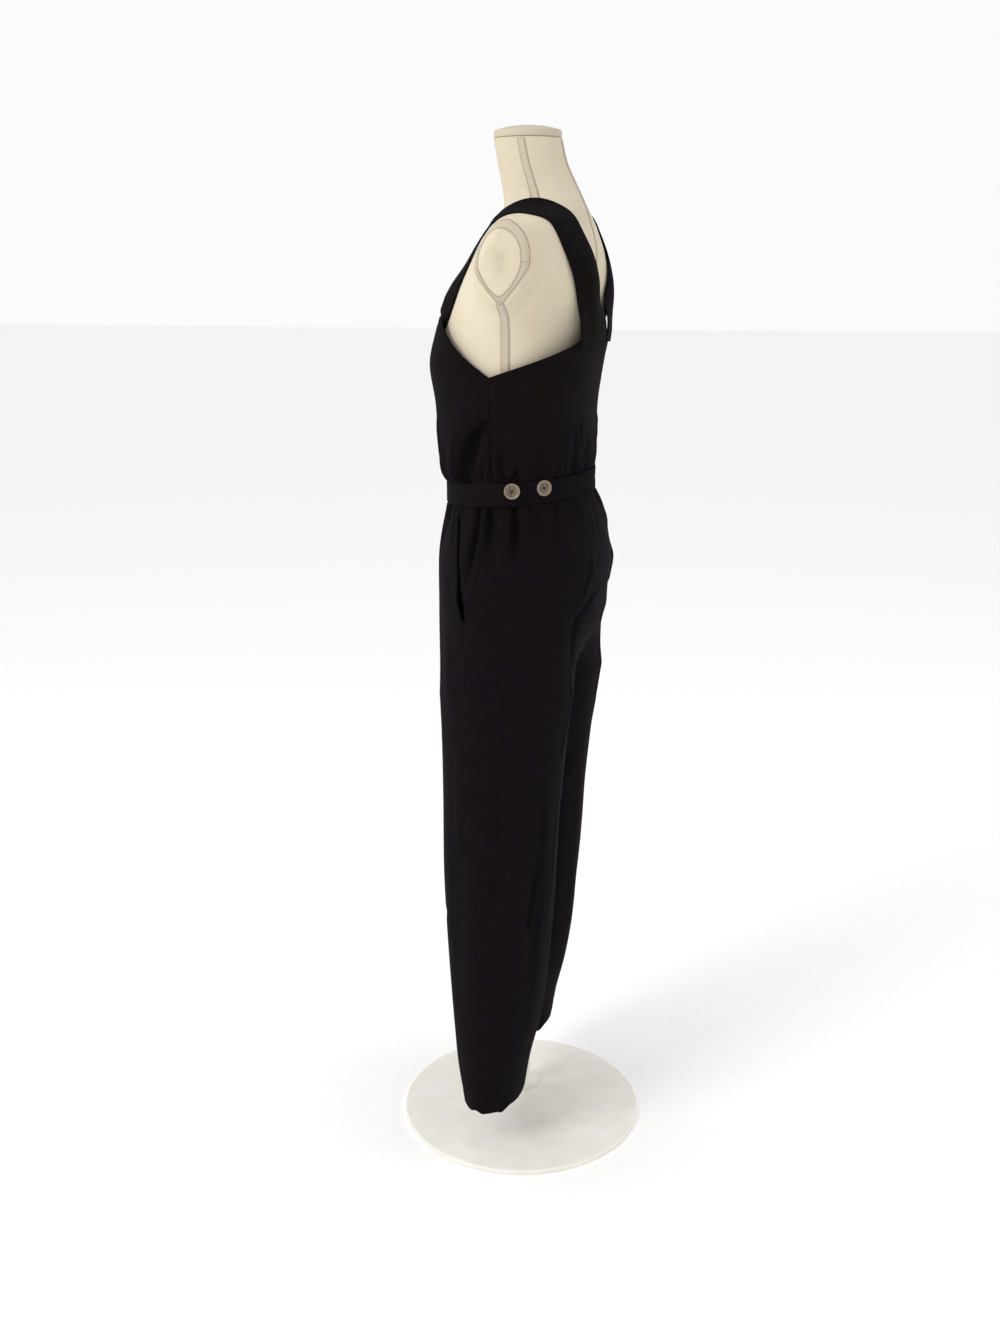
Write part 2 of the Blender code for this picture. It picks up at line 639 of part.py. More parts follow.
def tab_lift(angle):
    """The front band rises over the back band behind each side seam."""
    behind = -angle if angle < 90 else angle - 180
    return (BAND_CLOTH + 2 * SEAM_GAP) * smooth_step(behind, -4, 4)


def tab_half_width(angle):
    """The tab's end is rounded off to a blunt point."""
    half = BAND_WIDTH / 2 - SEAM_GAP
    behind = -angle if angle < 90 else angle - 180
    left = max(-TAB_END - behind, 0)
    return half if left > 5 else half * (0.45 + 0.55 * math.sqrt(1 - (1 - left / 5) ** 2))


def waistband():
    front = [TAB_END, -17.8, -16.8, -15.5, -13.5, -11, -8, -4, 0, 5]
    front += list(range(13, 90, 9)) + [90]
    front += [180 - angle for angle in reversed(front[:-1])]
    band("waistband_front", front, tab_lift, tab_half_width)
    back = list(np.linspace(-180 - BACK_BAND_START, BACK_BAND_START, 33))
    band("waistband_back", back, lambda angle: 0.0, lambda angle: BAND_WIDTH / 2 - SEAM_GAP)


# ---------------------------------------------------------------- trousers
def mouth_side(height):
    """Where the pocket mouth lies round the quarter, and below it the column that carries on."""
    down = min(max((MOUTH_TOP - height) / (MOUTH_TOP - MOUTH_FOOT), 0.0), 1.0)
    return MOUTH_TOP_SIDE + (MOUTH_FOOT_SIDE - MOUTH_TOP_SIDE) * down


def front_columns(height):
    """Places round the front quarter, with two columns that edge the pocket mouth."""
    mouth = mouth_side(height)
    down = min(max((MOUTH_TOP - height) / (MOUTH_TOP - MOUTH_FOOT), 0), 1)
    gape = MOUTH_LEAST + (MOUTH_GAPE - MOUTH_LEAST) * math.sin(math.pi * down**1.6)
    before = [mouth * share for share in (0, 0.3, 0.65)]
    after = [mouth + gape + (1 - mouth - gape) * share for share in np.linspace(0, 1, 10)]
    return [*before, mouth, *after]


def back_columns(height):
    return list(np.linspace(0, 1, 12))


def trouser_rows(lift):
    above = [-0.0181, MOUTH_TOP, -0.047, -0.070, -0.097, -0.127, -0.156, MOUTH_FOOT, -0.214]
    above += [-0.246, BAG_FOOT, -0.290, CROTCH]
    below = [-0.325, -0.370, -0.450, -0.550, -0.660, -0.770, -0.860, -0.930, HEM]
    scale = (CROTCH - HEM - lift) / (CROTCH - HEM)
    return above + [CROTCH + (height - CROTCH) * scale for height in below]


def trouser_grid(front, lift):
    """The outer points of a quarter of the trousers, and the normals there, in rows from the waist down."""
    columns = front_columns if front else back_columns
    points, normals = [], []
    for height in trouser_rows(lift):
        point_row, normal_row = [], []
        for side in columns(height):
            side = min(max(side, SIDE_SEAM), 1 - SIDE_SEAM)
            normal = surface_normal(lambda u, v: trouser_point(u, v, front, lift), side, height)
            point_row.append(trouser_point(side, height, front, lift))
            normal_row.append(-normal if front else normal)
        points.append(point_row)
        normals.append(normal_row)
    return points, normals


def moved_in(points, normals, depth, flip):
    """The grid moved inwards, clear of the middle plane, and mirrored for the right leg."""
    moved = [[p - n * depth for p, n in zip(*rows)] for rows in zip(points, normals)]
    for row in moved:
        for point in row:
            point.x = max(point.x, SEAM_GAP / 2)
    return [[mirrored(p) for p in row] for row in moved] if flip else moved


def trousers():
    """Each leg's two panels, and a pocket bag that keeps to the front panel's points just inside it."""
    for word, lift, flip in (("left", 0.0, False), ("right", RIGHT_HEM_LIFT, True)):
        heights = trouser_rows(lift)
        mouth_rows = range(heights.index(MOUTH_TOP), heights.index(MOUTH_FOOT))
        mouth = {(i, MOUTH_COLUMN) for i in mouth_rows}
        points, normals = trouser_grid(True, lift)
        shell = [moved_in(points, normals, depth, flip) for depth in (0, CLOTH)]
        wall(f"trouser_front_{word}", *shell, BLACK, mouth)
        rows = heights.index(BAG_FOOT) + 1
        points = [row[BAG_COLUMNS] for row in points[:rows]]
        normals = [row[BAG_COLUMNS] for row in normals[:rows]]
        behind = CLOTH + BAG_GAP
        shell = [moved_in(points, normals, depth, flip) for depth in (behind, behind + CLOTH)]
        wall(f"pocket_{word}", *shell, BLACK)
        points, normals = trouser_grid(False, lift)
        shell = [moved_in(points, normals, depth, flip) for depth in (0, CLOTH)]
        wall(f"trouser_back_{word}", *shell, BLACK)


# ---------------------------------------------------------------- buttons
def button(name, place, outwards):
    """A four-hole button: a disc with a raised rim, its back on the cloth."""
    radius, thick = BUTTON_RADIUS, BUTTON_THICK
    profile = [
        (0, 0), (radius - 0.0020, 0), (radius, 0.0012), (radius, 0.0024), (radius - 0.0012, thick),
        (radius - 0.0030, thick - 0.0009), (0, thick - 0.0012),
    ]
    disc = turned(name, profile, (0, 0, 0), HORN, turns=20)
    bore = [(0, 0), (HOLE_RADIUS, 0), (HOLE_RADIUS, 3 * thick), (0, 3 * thick)]
    cutters = []
    for k in range(4):
        angle = math.pi / 4 + k * math.pi / 2
        centre = (HOLE_RING * math.cos(angle), HOLE_RING * math.sin(angle), -thick)
        hole = turned(f"{name}_hole_{k}", bore, centre, HORN, turns=6)
        hole.hide_render = True
        hole.display_type = "WIRE"
        cut = disc.modifiers.new(f"hole_{k}", "BOOLEAN")
        cut.operation = "DIFFERENCE"
        cut.object = hole
        cutters.append(hole)
    turn = outwards.to_track_quat("Z", "Y").to_matrix().to_4x4()
    for obj in [disc, *cutters]:
        obj.matrix_world = Matrix.Translation(place) @ turn


def buttons():
    for word, flip in (("left", False), ("right", True)):
        for use, angle in (("tab", TAB_BUTTON), ("spare", SPARE_BUTTON)):
            lift = tab_lift(angle) if use == "tab" else 0.0
            place = band_point(angle, BUTTON_RISE, lift + BAND_CLOTH + SEAM_GAP)
            ahead = band_point(angle + 0.5, 0, lift) - band_point(angle - 0.5, 0, lift)
            outwards = ahead.cross(Vector((0, 0, -1))).normalized()
            if outwards.dot(place - Vector((0, 0, place.z))) < 0:
                outwards = -outwards
            if flip:
                place, outwards = mirrored(place), mirrored(outwards)
            button(f"button_{use}_{word}", place, outwards)


def main():
    clear_scene()
    body = dress_form()
    form_tree = surface_tree(body)
    stand()
    for word, side in (("left", 1), ("right", -1)):
        arm_plate(f"form_arm_plate_{word}", side)
    bodice()
    for word, side in (("left", 1), ("right", -1)):
        strap(f"strap_{word}", side, form_tree)
    waistband()
    trousers()
    buttons()


main()
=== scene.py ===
"""Finish of a black sleeveless jumpsuit on a limbless dress form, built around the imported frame.

Metres, +Z up. The front faces -Y and the wearer's left is +X. Each panel of cloth is a fine sheet on the
surface of its solid, with folds, gathers, seams and stitches of its own. Angles round the body start at the
wearer's left side and grow towards the front. Heights are measured from the middle of the waistband.
"""

import math
import random
from collections import namedtuple

import bmesh
import bpy
import numpy as np
from mathutils import Matrix, Vector
from mathutils.bvhtree import BVHTree


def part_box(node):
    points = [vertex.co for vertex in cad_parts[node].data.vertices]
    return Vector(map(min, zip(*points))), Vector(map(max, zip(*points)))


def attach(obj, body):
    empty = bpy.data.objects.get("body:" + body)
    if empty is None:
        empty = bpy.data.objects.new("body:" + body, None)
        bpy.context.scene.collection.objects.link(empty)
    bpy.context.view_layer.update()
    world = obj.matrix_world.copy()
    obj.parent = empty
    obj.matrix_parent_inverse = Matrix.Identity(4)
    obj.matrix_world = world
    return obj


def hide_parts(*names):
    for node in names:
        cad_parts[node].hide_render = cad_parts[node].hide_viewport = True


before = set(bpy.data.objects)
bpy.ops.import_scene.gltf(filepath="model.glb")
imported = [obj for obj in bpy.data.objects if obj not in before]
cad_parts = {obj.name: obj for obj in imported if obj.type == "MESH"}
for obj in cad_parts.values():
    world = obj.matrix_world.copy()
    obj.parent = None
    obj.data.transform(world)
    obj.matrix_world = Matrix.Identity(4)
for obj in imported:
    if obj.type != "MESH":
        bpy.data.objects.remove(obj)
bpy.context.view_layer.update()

# ---------------------------------------------------------------- sizes
# Most of these are the sizes of the solids. The straps, the arm plates and the tapes have their own here.
WAIST_Z = 1.080
CLOTH = 0.0015
STRAP_CLOTH = 0.0018
BAND_CLOTH = 0.0018
SEAM_GAP = 0.0003  # between neighbouring pieces
LEG_AXIS, BODY_AXIS = (0.09, 0.0), (0, 0)  # x and y that the legs' and the body's cloth faces away from
STRAP_LEAST_X = SEAM_GAP / 2  # the straps meet down the centre back
STRAP_OFF_FORM, STRAP_MOST_OFF, STRAP_OFF_BODICE = 0.0028, 0.0036, 0.0016
STRAP_RAMP = 0.020  # how far above the bodice's top edge the strap starts to clear it
STRAP_ON_FORM = 0.0008  # how far off the form the strap lies where it rests on it
STRAP_NECK_LIFT = 0.005  # how much further its neck edge stands off
PULL_FROM_Y = 0.06  # behind this the strap is drawn onto the form
PULL_NONE, PULL_FULL = 0.250, 0.295  # heights between which that draw sets in
BAND_WIDTH, BAND_HALF_BREADTH, BAND_HALF_DEPTH = 0.035, 0.1365, 0.1105
BAND_TILT = 0.07  # the band rises this much for each metre towards the back
TILT_REACH = 0.13  # how far above and below the band its tilt dies out
CROTCH, RISE_CURVE, HEM = -0.305, 0.120, -0.9945
SEAM_TURN = math.radians(13)  # how far the side seam turns back down the leg
RIGHT_HEM_LIFT = 0.035  # the right leg is hitched up this much
BUTTON_RADIUS, BUTTON_THICK, BUTTON_RISE = 0.0115, 0.0034, 0.0055
HOLE_RING, HOLE_RADIUS = 0.0019, 0.0009
ARM_PLANE = 0.152  # the form's armholes are cut flat here
PLATE_PLACE = (0.0155, 0.3210)  # y and height of an arm plate's middle
PLATE_HALF_WIDE, PLATE_HALF_TALL, PLATE_EGG = 0.0375, 0.056, 0.14
# How far the plate stands off, from its middle at 0 to its solid's rim at 1 and on to the form.
PLATE_RISE = [
    (0.00, 0.0158),
    (0.50, 0.0154),
    (0.75, 0.0147),
    (0.90, 0.0134),
    (1.00, 0.0116),
    (1.12, 0.0072),
    (1.22, 0.0034),
    (1.30, 0.0010),
    (1.36, -0.0003),
]
RING_INNER, RING_OUTER = (0.0315, 0.0450), (0.0410, 0.0565)  # half width and half height of the tape's edges
RING_SHIFT = -0.0012  # how much further forward the inner edge lies
RING_SEAM = 0.0005
TAPE_WALL = 0.0004

Section = namedtuple("Section", "height half_breadth centre_y half_depth squareness")
LegSection = namedtuple("LegSection", "height centre_x centre_y half_breadth half_depth")
Bump = namedtuple("Bump", "x height width tall reach")
EdgeCorner = namedtuple("EdgeCorner", "angle height")
Fold = namedtuple("Fold", "side top bottom width depth drift")
StrapPoint = namedtuple("StrapPoint", "x y height half_width")

FORM = [
    Section(-0.238, 0.148, 0.003, 0.090, 2.1),
    Section(-0.231, 0.162, 0.003, 0.101, 2.1),
    Section(-0.212, 0.170, 0.004, 0.109, 2.1),
    Section(-0.170, 0.173, 0.005, 0.112, 2.1),
    Section(-0.120, 0.165, 0.008, 0.113, 2.1),
    Section(-0.060, 0.144, 0.005, 0.106, 2.1),
    Section(0.000, 0.128, 0.000, 0.101, 2.0),
    Section(0.060, 0.131, -0.002, 0.099, 2.0),
    Section(0.120, 0.138, -0.002, 0.100, 2.1),
    Section(0.180, 0.144, -0.001, 0.101, 2.1),
    Section(0.230, 0.149, 0.002, 0.101, 2.1),
    Section(0.270, 0.161, 0.011, 0.097, 2.1),
    Section(0.310, 0.169, 0.0205, 0.0905, 1.9),
    Section(0.345, 0.170, 0.0290, 0.0820, 1.7),
    Section(0.362, 0.163, 0.0335, 0.0735, 1.7),
    Section(0.375, 0.142, 0.0370, 0.0660, 1.8),
    Section(0.385, 0.110, 0.0380, 0.0620, 1.9),
    Section(0.394, 0.083, 0.0375, 0.0595, 2.0),
    Section(0.408, 0.064, 0.0340, 0.0570, 2.0),
    Section(0.430, 0.055, 0.0265, 0.0535, 2.0),
    Section(0.455, 0.052, 0.018, 0.050, 2.0),
    Section(0.490, 0.050, 0.010, 0.049, 2.0),
]
BUST = Bump(x=0.076, height=0.178, width=0.042, tall=0.050, reach=0.024)
BLADE = Bump(x=0.055, height=0.270, width=0.034, tall=0.065, reach=0.020)
BODICE = [
    Section(0.0178, 0.1365, -0.001, 0.1085, 2.0),
    Section(0.030, 0.1400, -0.004, 0.1100, 2.0),
    Section(0.050, 0.1425, -0.005, 0.1120, 2.1),
    Section(0.085, 0.1455, -0.005, 0.1145, 2.2),
    Section(0.125, 0.1500, -0.005, 0.1160, 2.3),
    Section(0.185, 0.1530, -0.004, 0.1235, 2.4),
    Section(0.225, 0.1540, 0.004, 0.1230, 2.3),
    Section(0.250, 0.1550, 0.007, 0.1190, 2.2),
]
HIPS = [
    Section(-0.0178, 0.1365, 0.001, 0.1090, 2.0),
    Section(-0.035, 0.1450, 0.004, 0.1145, 2.0),
    Section(-0.060, 0.1560, 0.007, 0.1195, 2.1),
    Section(-0.090, 0.1680, 0.008, 0.1240, 2.1),
    Section(-0.120, 0.1760, 0.009, 0.1265, 2.1),
    Section(-0.150, 0.1815, 0.007, 0.1250, 2.1),
    Section(-0.185, 0.1850, 0.005, 0.1230, 2.1),
    Section(-0.230, 0.1875, 0.004, 0.1220, 2.1),
    Section(-0.305, 0.1870, 0.003, 0.1150, 2.1),
]
LEG = [
    LegSection(-0.305, 0.0935, 0.003, 0.0935, 0.1030),
    LegSection(-0.360, 0.0935, 0.000, 0.0900, 0.0980),
    LegSection(-0.420, 0.0930, -0.003, 0.0880, 0.0940),
    LegSection(-0.500, 0.0925, -0.007, 0.0870, 0.0895),
    LegSection(-0.600, 0.0920, -0.010, 0.0860, 0.0865),
    LegSection(-0.700, 0.0920, -0.0115, 0.0850, 0.0815),
    LegSection(-0.800, 0.0915, -0.013, 0.0840, 0.0750),
    LegSection(-0.870, 0.0915, -0.016, 0.0830, 0.0670),
    LegSection(-0.930, 0.0915, -0.020, 0.0815, 0.0575),
    LegSection(HEM, 0.0915, -0.020, 0.0795, 0.0465),
]
FRONT_EDGE = [
    EdgeCorner(0, 0.167),
    EdgeCorner(43, 0.244),
    EdgeCorner(66, 0.246),
    EdgeCorner(90, 0.238),
]
BACK_EDGE = [
    EdgeCorner(0, 0.167),
    EdgeCorner(-51, 0.213),
    EdgeCorner(-53, 0.226),
    EdgeCorner(-90, 0.228),
]
STRAP = [
    StrapPoint(0.0730, -0.1010, 0.2330, 0.0215),
    StrapPoint(0.0740, -0.0910, 0.2600, 0.0215),
    StrapPoint(0.0755, -0.0730, 0.3000, 0.0215),
    StrapPoint(0.0770, -0.0480, 0.3400, 0.0215),
    StrapPoint(0.0775, -0.0180, 0.3760, 0.0205),
    StrapPoint(0.0815, 0.0110, 0.3950, 0.0225),
    StrapPoint(0.0885, 0.0400, 0.3970, 0.0300),
    StrapPoint(0.0880, 0.0710, 0.3850, 0.0325),
    StrapPoint(0.0840, 0.0930, 0.3610, 0.0295),
    StrapPoint(0.0760, 0.1070, 0.3320, 0.0275),
    StrapPoint(0.0640, 0.1170, 0.3000, 0.0300),
    StrapPoint(0.0545, 0.1200, 0.2650, 0.0415),
    StrapPoint(0.0495, 0.1190, 0.2350, 0.0490),
    StrapPoint(0.0490, 0.1195, 0.2080, 0.0485),
]
MOUTH_TOP, MOUTH_FOOT, BAG_FOOT = -0.030, -0.183, -0.277
# Where the mouth's front edge runs on the cloth, and how far it gapes, as shares of the quarter.
MouthPoint = namedtuple("MouthPoint", "height side gape")
MOUTH = [
    MouthPoint(-0.018, 0.350, 0.007),
    MouthPoint(-0.064, 0.286, 0.010),
    MouthPoint(-0.106, 0.246, 0.012),
    MouthPoint(-0.135, 0.226, 0.024),
    MouthPoint(-0.155, 0.202, 0.032),
    MouthPoint(-0.172, 0.178, 0.022),
    MouthPoint(-0.186, 0.162, 0.006),
    MouthPoint(-0.230, 0.158, 0.006),
    MouthPoint(-0.400, 0.190, 0.020),
    MouthPoint(-1.000, 0.240, 0.0125),
]
# Places round the waistband, in degrees.
TAB_END, TAB_ROUND = -18.5, 5
BACK_BAND_START = -7
TAB_BUTTON, SPARE_BUTTON = -10, -30
BAND_EDGE_ROUND = 0.0006  # how far the band's edges round off

# ---------------------------------------------------------------- folds of the cloth
# Folds that hang from the waistband. side runs from 0 at the side seam to 1 at the centre. top and bottom
# are heights, width is a share of the quarter, depth is positive for a ridge, and drift moves the lower end
# round.
FRONT_FOLDS = [
    Fold(0.048, -0.018, -0.095, 0.022, -0.0062, 0.02),
    Fold(0.090, -0.018, -0.190, 0.018, 0.0042, 0.05),
    Fold(0.135, -0.018, -0.150, 0.020, -0.0075, 0.02),
    Fold(0.185, -0.018, -0.070, 0.016, 0.0012, 0.00),
    Fold(0.40, -0.018, -0.100, 0.024, 0.0030, -0.03),
    Fold(0.50, -0.018, -0.110, 0.030, -0.0036, 0.12),
    Fold(0.57, -0.018, -0.060, 0.016, 0.0014, 0.02),
    Fold(0.64, -0.018, -0.210, 0.036, 0.0030, 0.03),
    Fold(0.70, -0.018, -0.090, 0.018, -0.0020, 0.00),
    Fold(0.78, -0.018, -0.130, 0.028, -0.0030, -0.02),
    Fold(0.87, -0.018, -0.170, 0.030, 0.0022, 0.01),
    Fold(0.94, -0.018, -0.080, 0.018, -0.0018, 0.00),
]
BACK_FOLDS = [
    Fold(0.035, -0.018, -0.110, 0.024, 0.0022, -0.01),
    Fold(0.12, -0.018, -0.105, 0.020, -0.0056, -0.03),
    Fold(0.19, -0.018, -0.060, 0.018, 0.0012, 0.00),
    Fold(0.26, -0.018, -0.080, 0.024, -0.0016, 0.00),
    Fold(0.34, -0.018, -0.070, 0.014, 0.0010, -0.02),
    Fold(0.41, -0.018, -0.090, 0.018, -0.0020, -0.05),
    Fold(0.52, -0.018, -0.060, 0.014, -0.0012, 0.00),
    Fold(0.62, -0.018, -0.080, 0.022, -0.0020, 0.00),
    Fold(0.70, -0.018, -0.060, 0.014, 0.0012, 0.00),
    Fold(0.78, -0.018, -0.085, 0.014, 0.0018, 0.00),
    Fold(0.85, -0.018, -0.100, 0.026, -0.0024, 0.00),
    Fold(0.94, -0.018, -0.070, 0.016, -0.0014, 0.00),
]
# The softest and longest folds of the legs, which their solids have too.
LEG_FOLDS = [
    Fold(0.12, -0.340, -0.960, 0.060, 0.0030, 0.03),
    Fold(0.30, -0.380, -0.900, 0.060, -0.0030, -0.04),
    Fold(0.52, -0.330, -0.980, 0.070, 0.0035, 0.00),
    Fold(0.76, -0.420, -0.960, 0.060, -0.0025, 0.03),
]

# Creases that start and end in the cloth, from one place to another. width and depth are in metres.
Crease = namedtuple("Crease", "side height to_side to_height width depth")
FRONT_CREASES = [
    Crease(0.10, -0.075, 0.145, -0.150, 0.0050, 0.0016),
    Crease(0.56, -0.124, 0.30, -0.112, 0.0028, -0.0012),
    Crease(0.52, -0.134, 0.34, -0.124, 0.0035, 0.0009),
    Crease(0.165, -0.190, 0.158, -0.250, 0.0020, 0.0010),
    Crease(0.26, -0.190, 0.17, -0.190, 0.0018, 0.0008),
    Crease(0.140, -0.266, 0.118, -0.277, 0.0026, -0.0016),
    Crease(0.30, -0.205, 0.24, -0.330, 0.0140, 0.0016),
    Crease(0.44, -0.180, 0.36, -0.330, 0.0120, -0.0014),
    Crease(0.92, -0.215, 0.66, -0.262, 0.0110, 0.0026),
    Crease(0.95, -0.240, 0.62, -0.310, 0.0110, -0.0024),
    Crease(0.97, -0.275, 0.70, -0.360, 0.0120, 0.0020),
    Crease(0.215, -0.370, 0.225, -0.540, 0.0060, 0.0016),
    Crease(0.225, -0.550, 0.27, -0.700, 0.0060, 0.0013),
    Crease(0.160, -0.470, 0.03, -0.492, 0.0050, -0.0016),
    Crease(0.150, -0.486, 0.02, -0.506, 0.0060, 0.0012),
    Crease(0.040, -0.560, 0.02, -0.620, 0.0045, -0.0012),
    Crease(0.62, -0.520, 0.86, -0.560, 0.0090, -0.0020),
    Crease(0.66, -0.545, 0.90, -0.590, 0.0090, 0.0016),
    Crease(0.40, -0.660, 0.60, -0.700, 0.0080, -0.0012),
    Crease(0.33, -0.800, 0.12, -0.850, 0.0090, -0.0014),
    Crease(0.70, -0.820, 0.90, -0.880, 0.0090, 0.0015),
    Crease(0.30, -0.900, 0.24, -0.985, 0.0070, -0.0010),
]
BACK_CREASES = [
    Crease(0.78, -0.052, 0.775, -0.072, 0.0022, 0.0010),
    Crease(0.70, -0.100, 0.52, -0.178, 0.0060, 0.0034),
    Crease(0.80, -0.150, 0.50, -0.192, 0.0080, -0.0034),
    Crease(0.54, -0.176, 0.44, -0.290, 0.0085, -0.0036),
    Crease(0.46, -0.220, 0.40, -0.420, 0.0070, 0.0024),
    Crease(0.98, -0.205, 0.72, -0.180, 0.0100, 0.0012),
    Crease(0.98, -0.235, 0.66, -0.262, 0.0110, -0.0014),
    Crease(0.96, -0.270, 0.60, -0.330, 0.0110, 0.0010),
    Crease(0.44, -0.400, 0.40, -0.700, 0.0065, 0.0016),
    Crease(0.10, -0.500, 0.02, -0.494, 0.0050, -0.0012),
    Crease(0.28, -0.430, 0.295, -0.540, 0.0075, -0.0010),
    Crease(0.27, -0.578, 0.205, -0.680, 0.0050, -0.0020),
    Crease(0.29, -0.590, 0.225, -0.690, 0.0055, 0.0016),
    Crease(0.012, -0.565, 0.012, -0.612, 0.0045, -0.0012),
    Crease(0.19, -0.864, 0.215, -0.868, 0.0030, 0.0012),
    Crease(0.60, -0.450, 0.86, -0.500, 0.0100, -0.0020),
    Crease(0.58, -0.480, 0.82, -0.535, 0.0090, 0.0018),
    Crease(0.50, -0.760, 0.74, -0.800, 0.0090, -0.0015),
    Crease(0.128, -0.930, 0.140, -0.990, 0.0030, 0.0009),
    Crease(0.36, -0.880, 0.46, -0.970, 0.0080, -0.0012),
]
# Creases of the bodice, by angle in degrees and height.
FRONT_BODICE_CREASES = [
    Crease(1.0, 0.110, 10.0, 0.082, 0.0075, -0.0040),
    Crease(8.0, 0.090, 25.5, 0.010, 0.0150, -0.0105),
    Crease(25.0, 0.085, 34.0, 0.010, 0.0070, 0.0040),
    Crease(1.0, 0.090, 8.0, 0.035, 0.0090, 0.0036),
    Crease(4.0, 0.054, 7.5, 0.020, 0.0034, -0.0048),
    Crease(15.0, 0.040, 11.0, 0.016, 0.0035, 0.0022),
    Crease(40.0, 0.070, 41.0, 0.008, 0.0060, -0.0036),
    Crease(47.0, 0.110, 49.5, 0.008, 0.0085, 0.0036),
    Crease(57.0, 0.064, 55.5, 0.008, 0.0060, -0.0032),
    Crease(68.0, 0.090, 65.0, 0.008, 0.0075, 0.0030),
    Crease(75.0, 0.054, 74.0, 0.008, 0.0050, -0.0026),
    Crease(84.0, 0.075, 83.0, 0.008, 0.0060, 0.0022),
    Crease(8.5, 0.178, 1.5, 0.171, 0.0030, -0.0008),
    Crease(6.0, 0.150, 30.0, 0.168, 0.0120, 0.0012),
    Crease(-1.0, 0.132, 8.0, 0.112, 0.0090, 0.0012),
]
BACK_BODICE_CREASES = [
    Crease(5.5, 0.062, 7.0, 0.016, 0.0034, -0.0048),
    Crease(9.0, 0.018, 17.5, 0.038, 0.0032, -0.0036),
    Crease(15.0, 0.050, 22.0, 0.014, 0.0045, 0.0016),
    Crease(29.0, 0.060, 28.0, 0.010, 0.0060, -0.0020),
    Crease(37.0, 0.045, 36.0, 0.010, 0.0050, 0.0014),
    Crease(45.0, 0.050, 45.0, 0.010, 0.0055, -0.0018),
    Crease(57.5, 0.085, 56.0, 0.012, 0.0070, -0.0028),
    Crease(66.0, 0.100, 67.0, 0.060, 0.0040, 0.0018),
    Crease(71.0, 0.060, 72.0, 0.010, 0.0055, -0.0020),
    Crease(80.0, 0.075, 79.0, 0.012, 0.0065, 0.0020),
    Crease(87.0, 0.050, 87.0, 0.010, 0.0045, -0.0016),
    Crease(60.0, 0.150, 20.0, 0.128, 0.0160, 0.0012),
]
MIRROR_SHIFT, MIRROR_SCALE = 0.035, 0.25  # how far the right side's folds differ from the left side's
SEAM_PINCH, SEAM_PINCH_WIDTH = 0.00025, 0.0022
SEAM_FADE = 0.005  # folds die out this far from a seam, so that both panels meet on one line
TUCK, TUCK_EASE = 0.005, 0.002  # what of a gathered edge lies behind the waistband, and where it comes out
TUCK_DEPTH = BAND_CLOTH + 0.0014
TROUGH_MOST = 0.0050  # the deepest trough of the trousers at the waist
BODICE_TROUGH_MOST = TROUGH_MOST + 0.0015
# Painted shade darkens the cloth in the troughs of its folds, fully from this depth on.
PAINTED_SHADE_FULL = 0.0042  # depth at which a trough has its darkest black
WAIST_RIPPLE, BODICE_RIPPLE, HEM_RIPPLE = 0.0010, 0.0016, 0.0014
HEM_GROOVE, HEM_GROOVE_WIDTH = 0.0005, 0.0035
EDGE_GROOVE, EDGE_GROOVE_WIDTH = 0.0004, 0.0012
BLOUSE, BACK_BLOUSE = 0.0022, 0.0040  # how far the bodice bags over the waistband, and more at the back
HALF_GIRTH = 0.27  # about half of a thigh, which the places round a panel cover
DEGREE = 0.0026  # metres round the bodice for each degree
PANEL_ROWS, PANEL_COLUMNS, MOUTH_COLUMN = 272, 80, 19
HEM_DEPTH = 0.025
EDGE_STITCH = 0.0062  # from the bodice's top edge to its stitching


# ---------------------------------------------------------------- materials
def linear(hex_colour):
    """An sRGB hex colour as linear red, green, blue and alpha."""
    values = [int(hex_colour[i : i + 2], 16) / 255 for i in (1, 3, 5)]
    return (*[v / 12.92 if v <= 0.04045 else ((v + 0.055) / 1.055) ** 2.4 for v in values], 1.0)


def socket_of(source):
    """A socket as it is, or the first output in use of a node."""
    if isinstance(source, bpy.types.Node):
        return next(socket for socket in source.outputs if socket.enabled)
    return source


def add_node(tree, kind, settings=None, inputs=None):
    """A node with its settings, and its inputs given as values, as sockets, or as nodes."""
    node = tree.nodes.new(kind)
    for key, value in (settings or {}).items():
        setattr(node, key, value)
    for key, value in (inputs or {}).items():
        value = socket_of(value)
        if isinstance(value, bpy.types.NodeSocket):
            tree.links.new(value, node.inputs[key])
        else:
            node.inputs[key].default_value = value
    return node


def new_material(name, shader_values):
    made = bpy.data.materials.new(name)
    made.use_nodes = True
    shader = made.node_tree.nodes["Principled BSDF"]
    for key, value in shader_values.items():
        shader.inputs[key].default_value = value
    return made, made.node_tree, shader


def finish(tree, shader, colour, *layers):
    """Gives the shader its colour, and its relief in layers of a height and its depth in metres."""
    tree.links.new(socket_of(colour), shader.inputs["Base Color"])
    below = {}
    for height, depth in layers:
        relief = add_node(tree, "ShaderNodeBump", {}, {
            "Height": height, "Distance": depth, "Strength": 1.0, **below,
        })
        below = {"Normal": relief}
    if layers:
        tree.links.new(socket_of(relief), shader.inputs["Normal"])


def weave_height(tree, vector, thread):
    """Height of a plain weave: two crossing sets of threads, thread metres apart."""
    axes = add_node(tree, "ShaderNodeSeparateXYZ", {}, {"Vector": vector})
    waves = {}
    for place, axis in enumerate(("X", "Y")):
        angle = add_node(tree, "ShaderNodeMath", {"operation": "MULTIPLY"}, {
            0: axes.outputs[axis], 1: 2 * math.pi / thread,
        })
        waves[place] = add_node(tree, "ShaderNodeMath", {"operation": "SINE"}, {0: angle})
    return add_node(tree, "ShaderNodeMath", {"operation": "MULTIPLY"}, waves)


MIX = {"data_type": "RGBA"}
MULTIPLY = {"data_type": "RGBA", "blend_type": "MULTIPLY"}


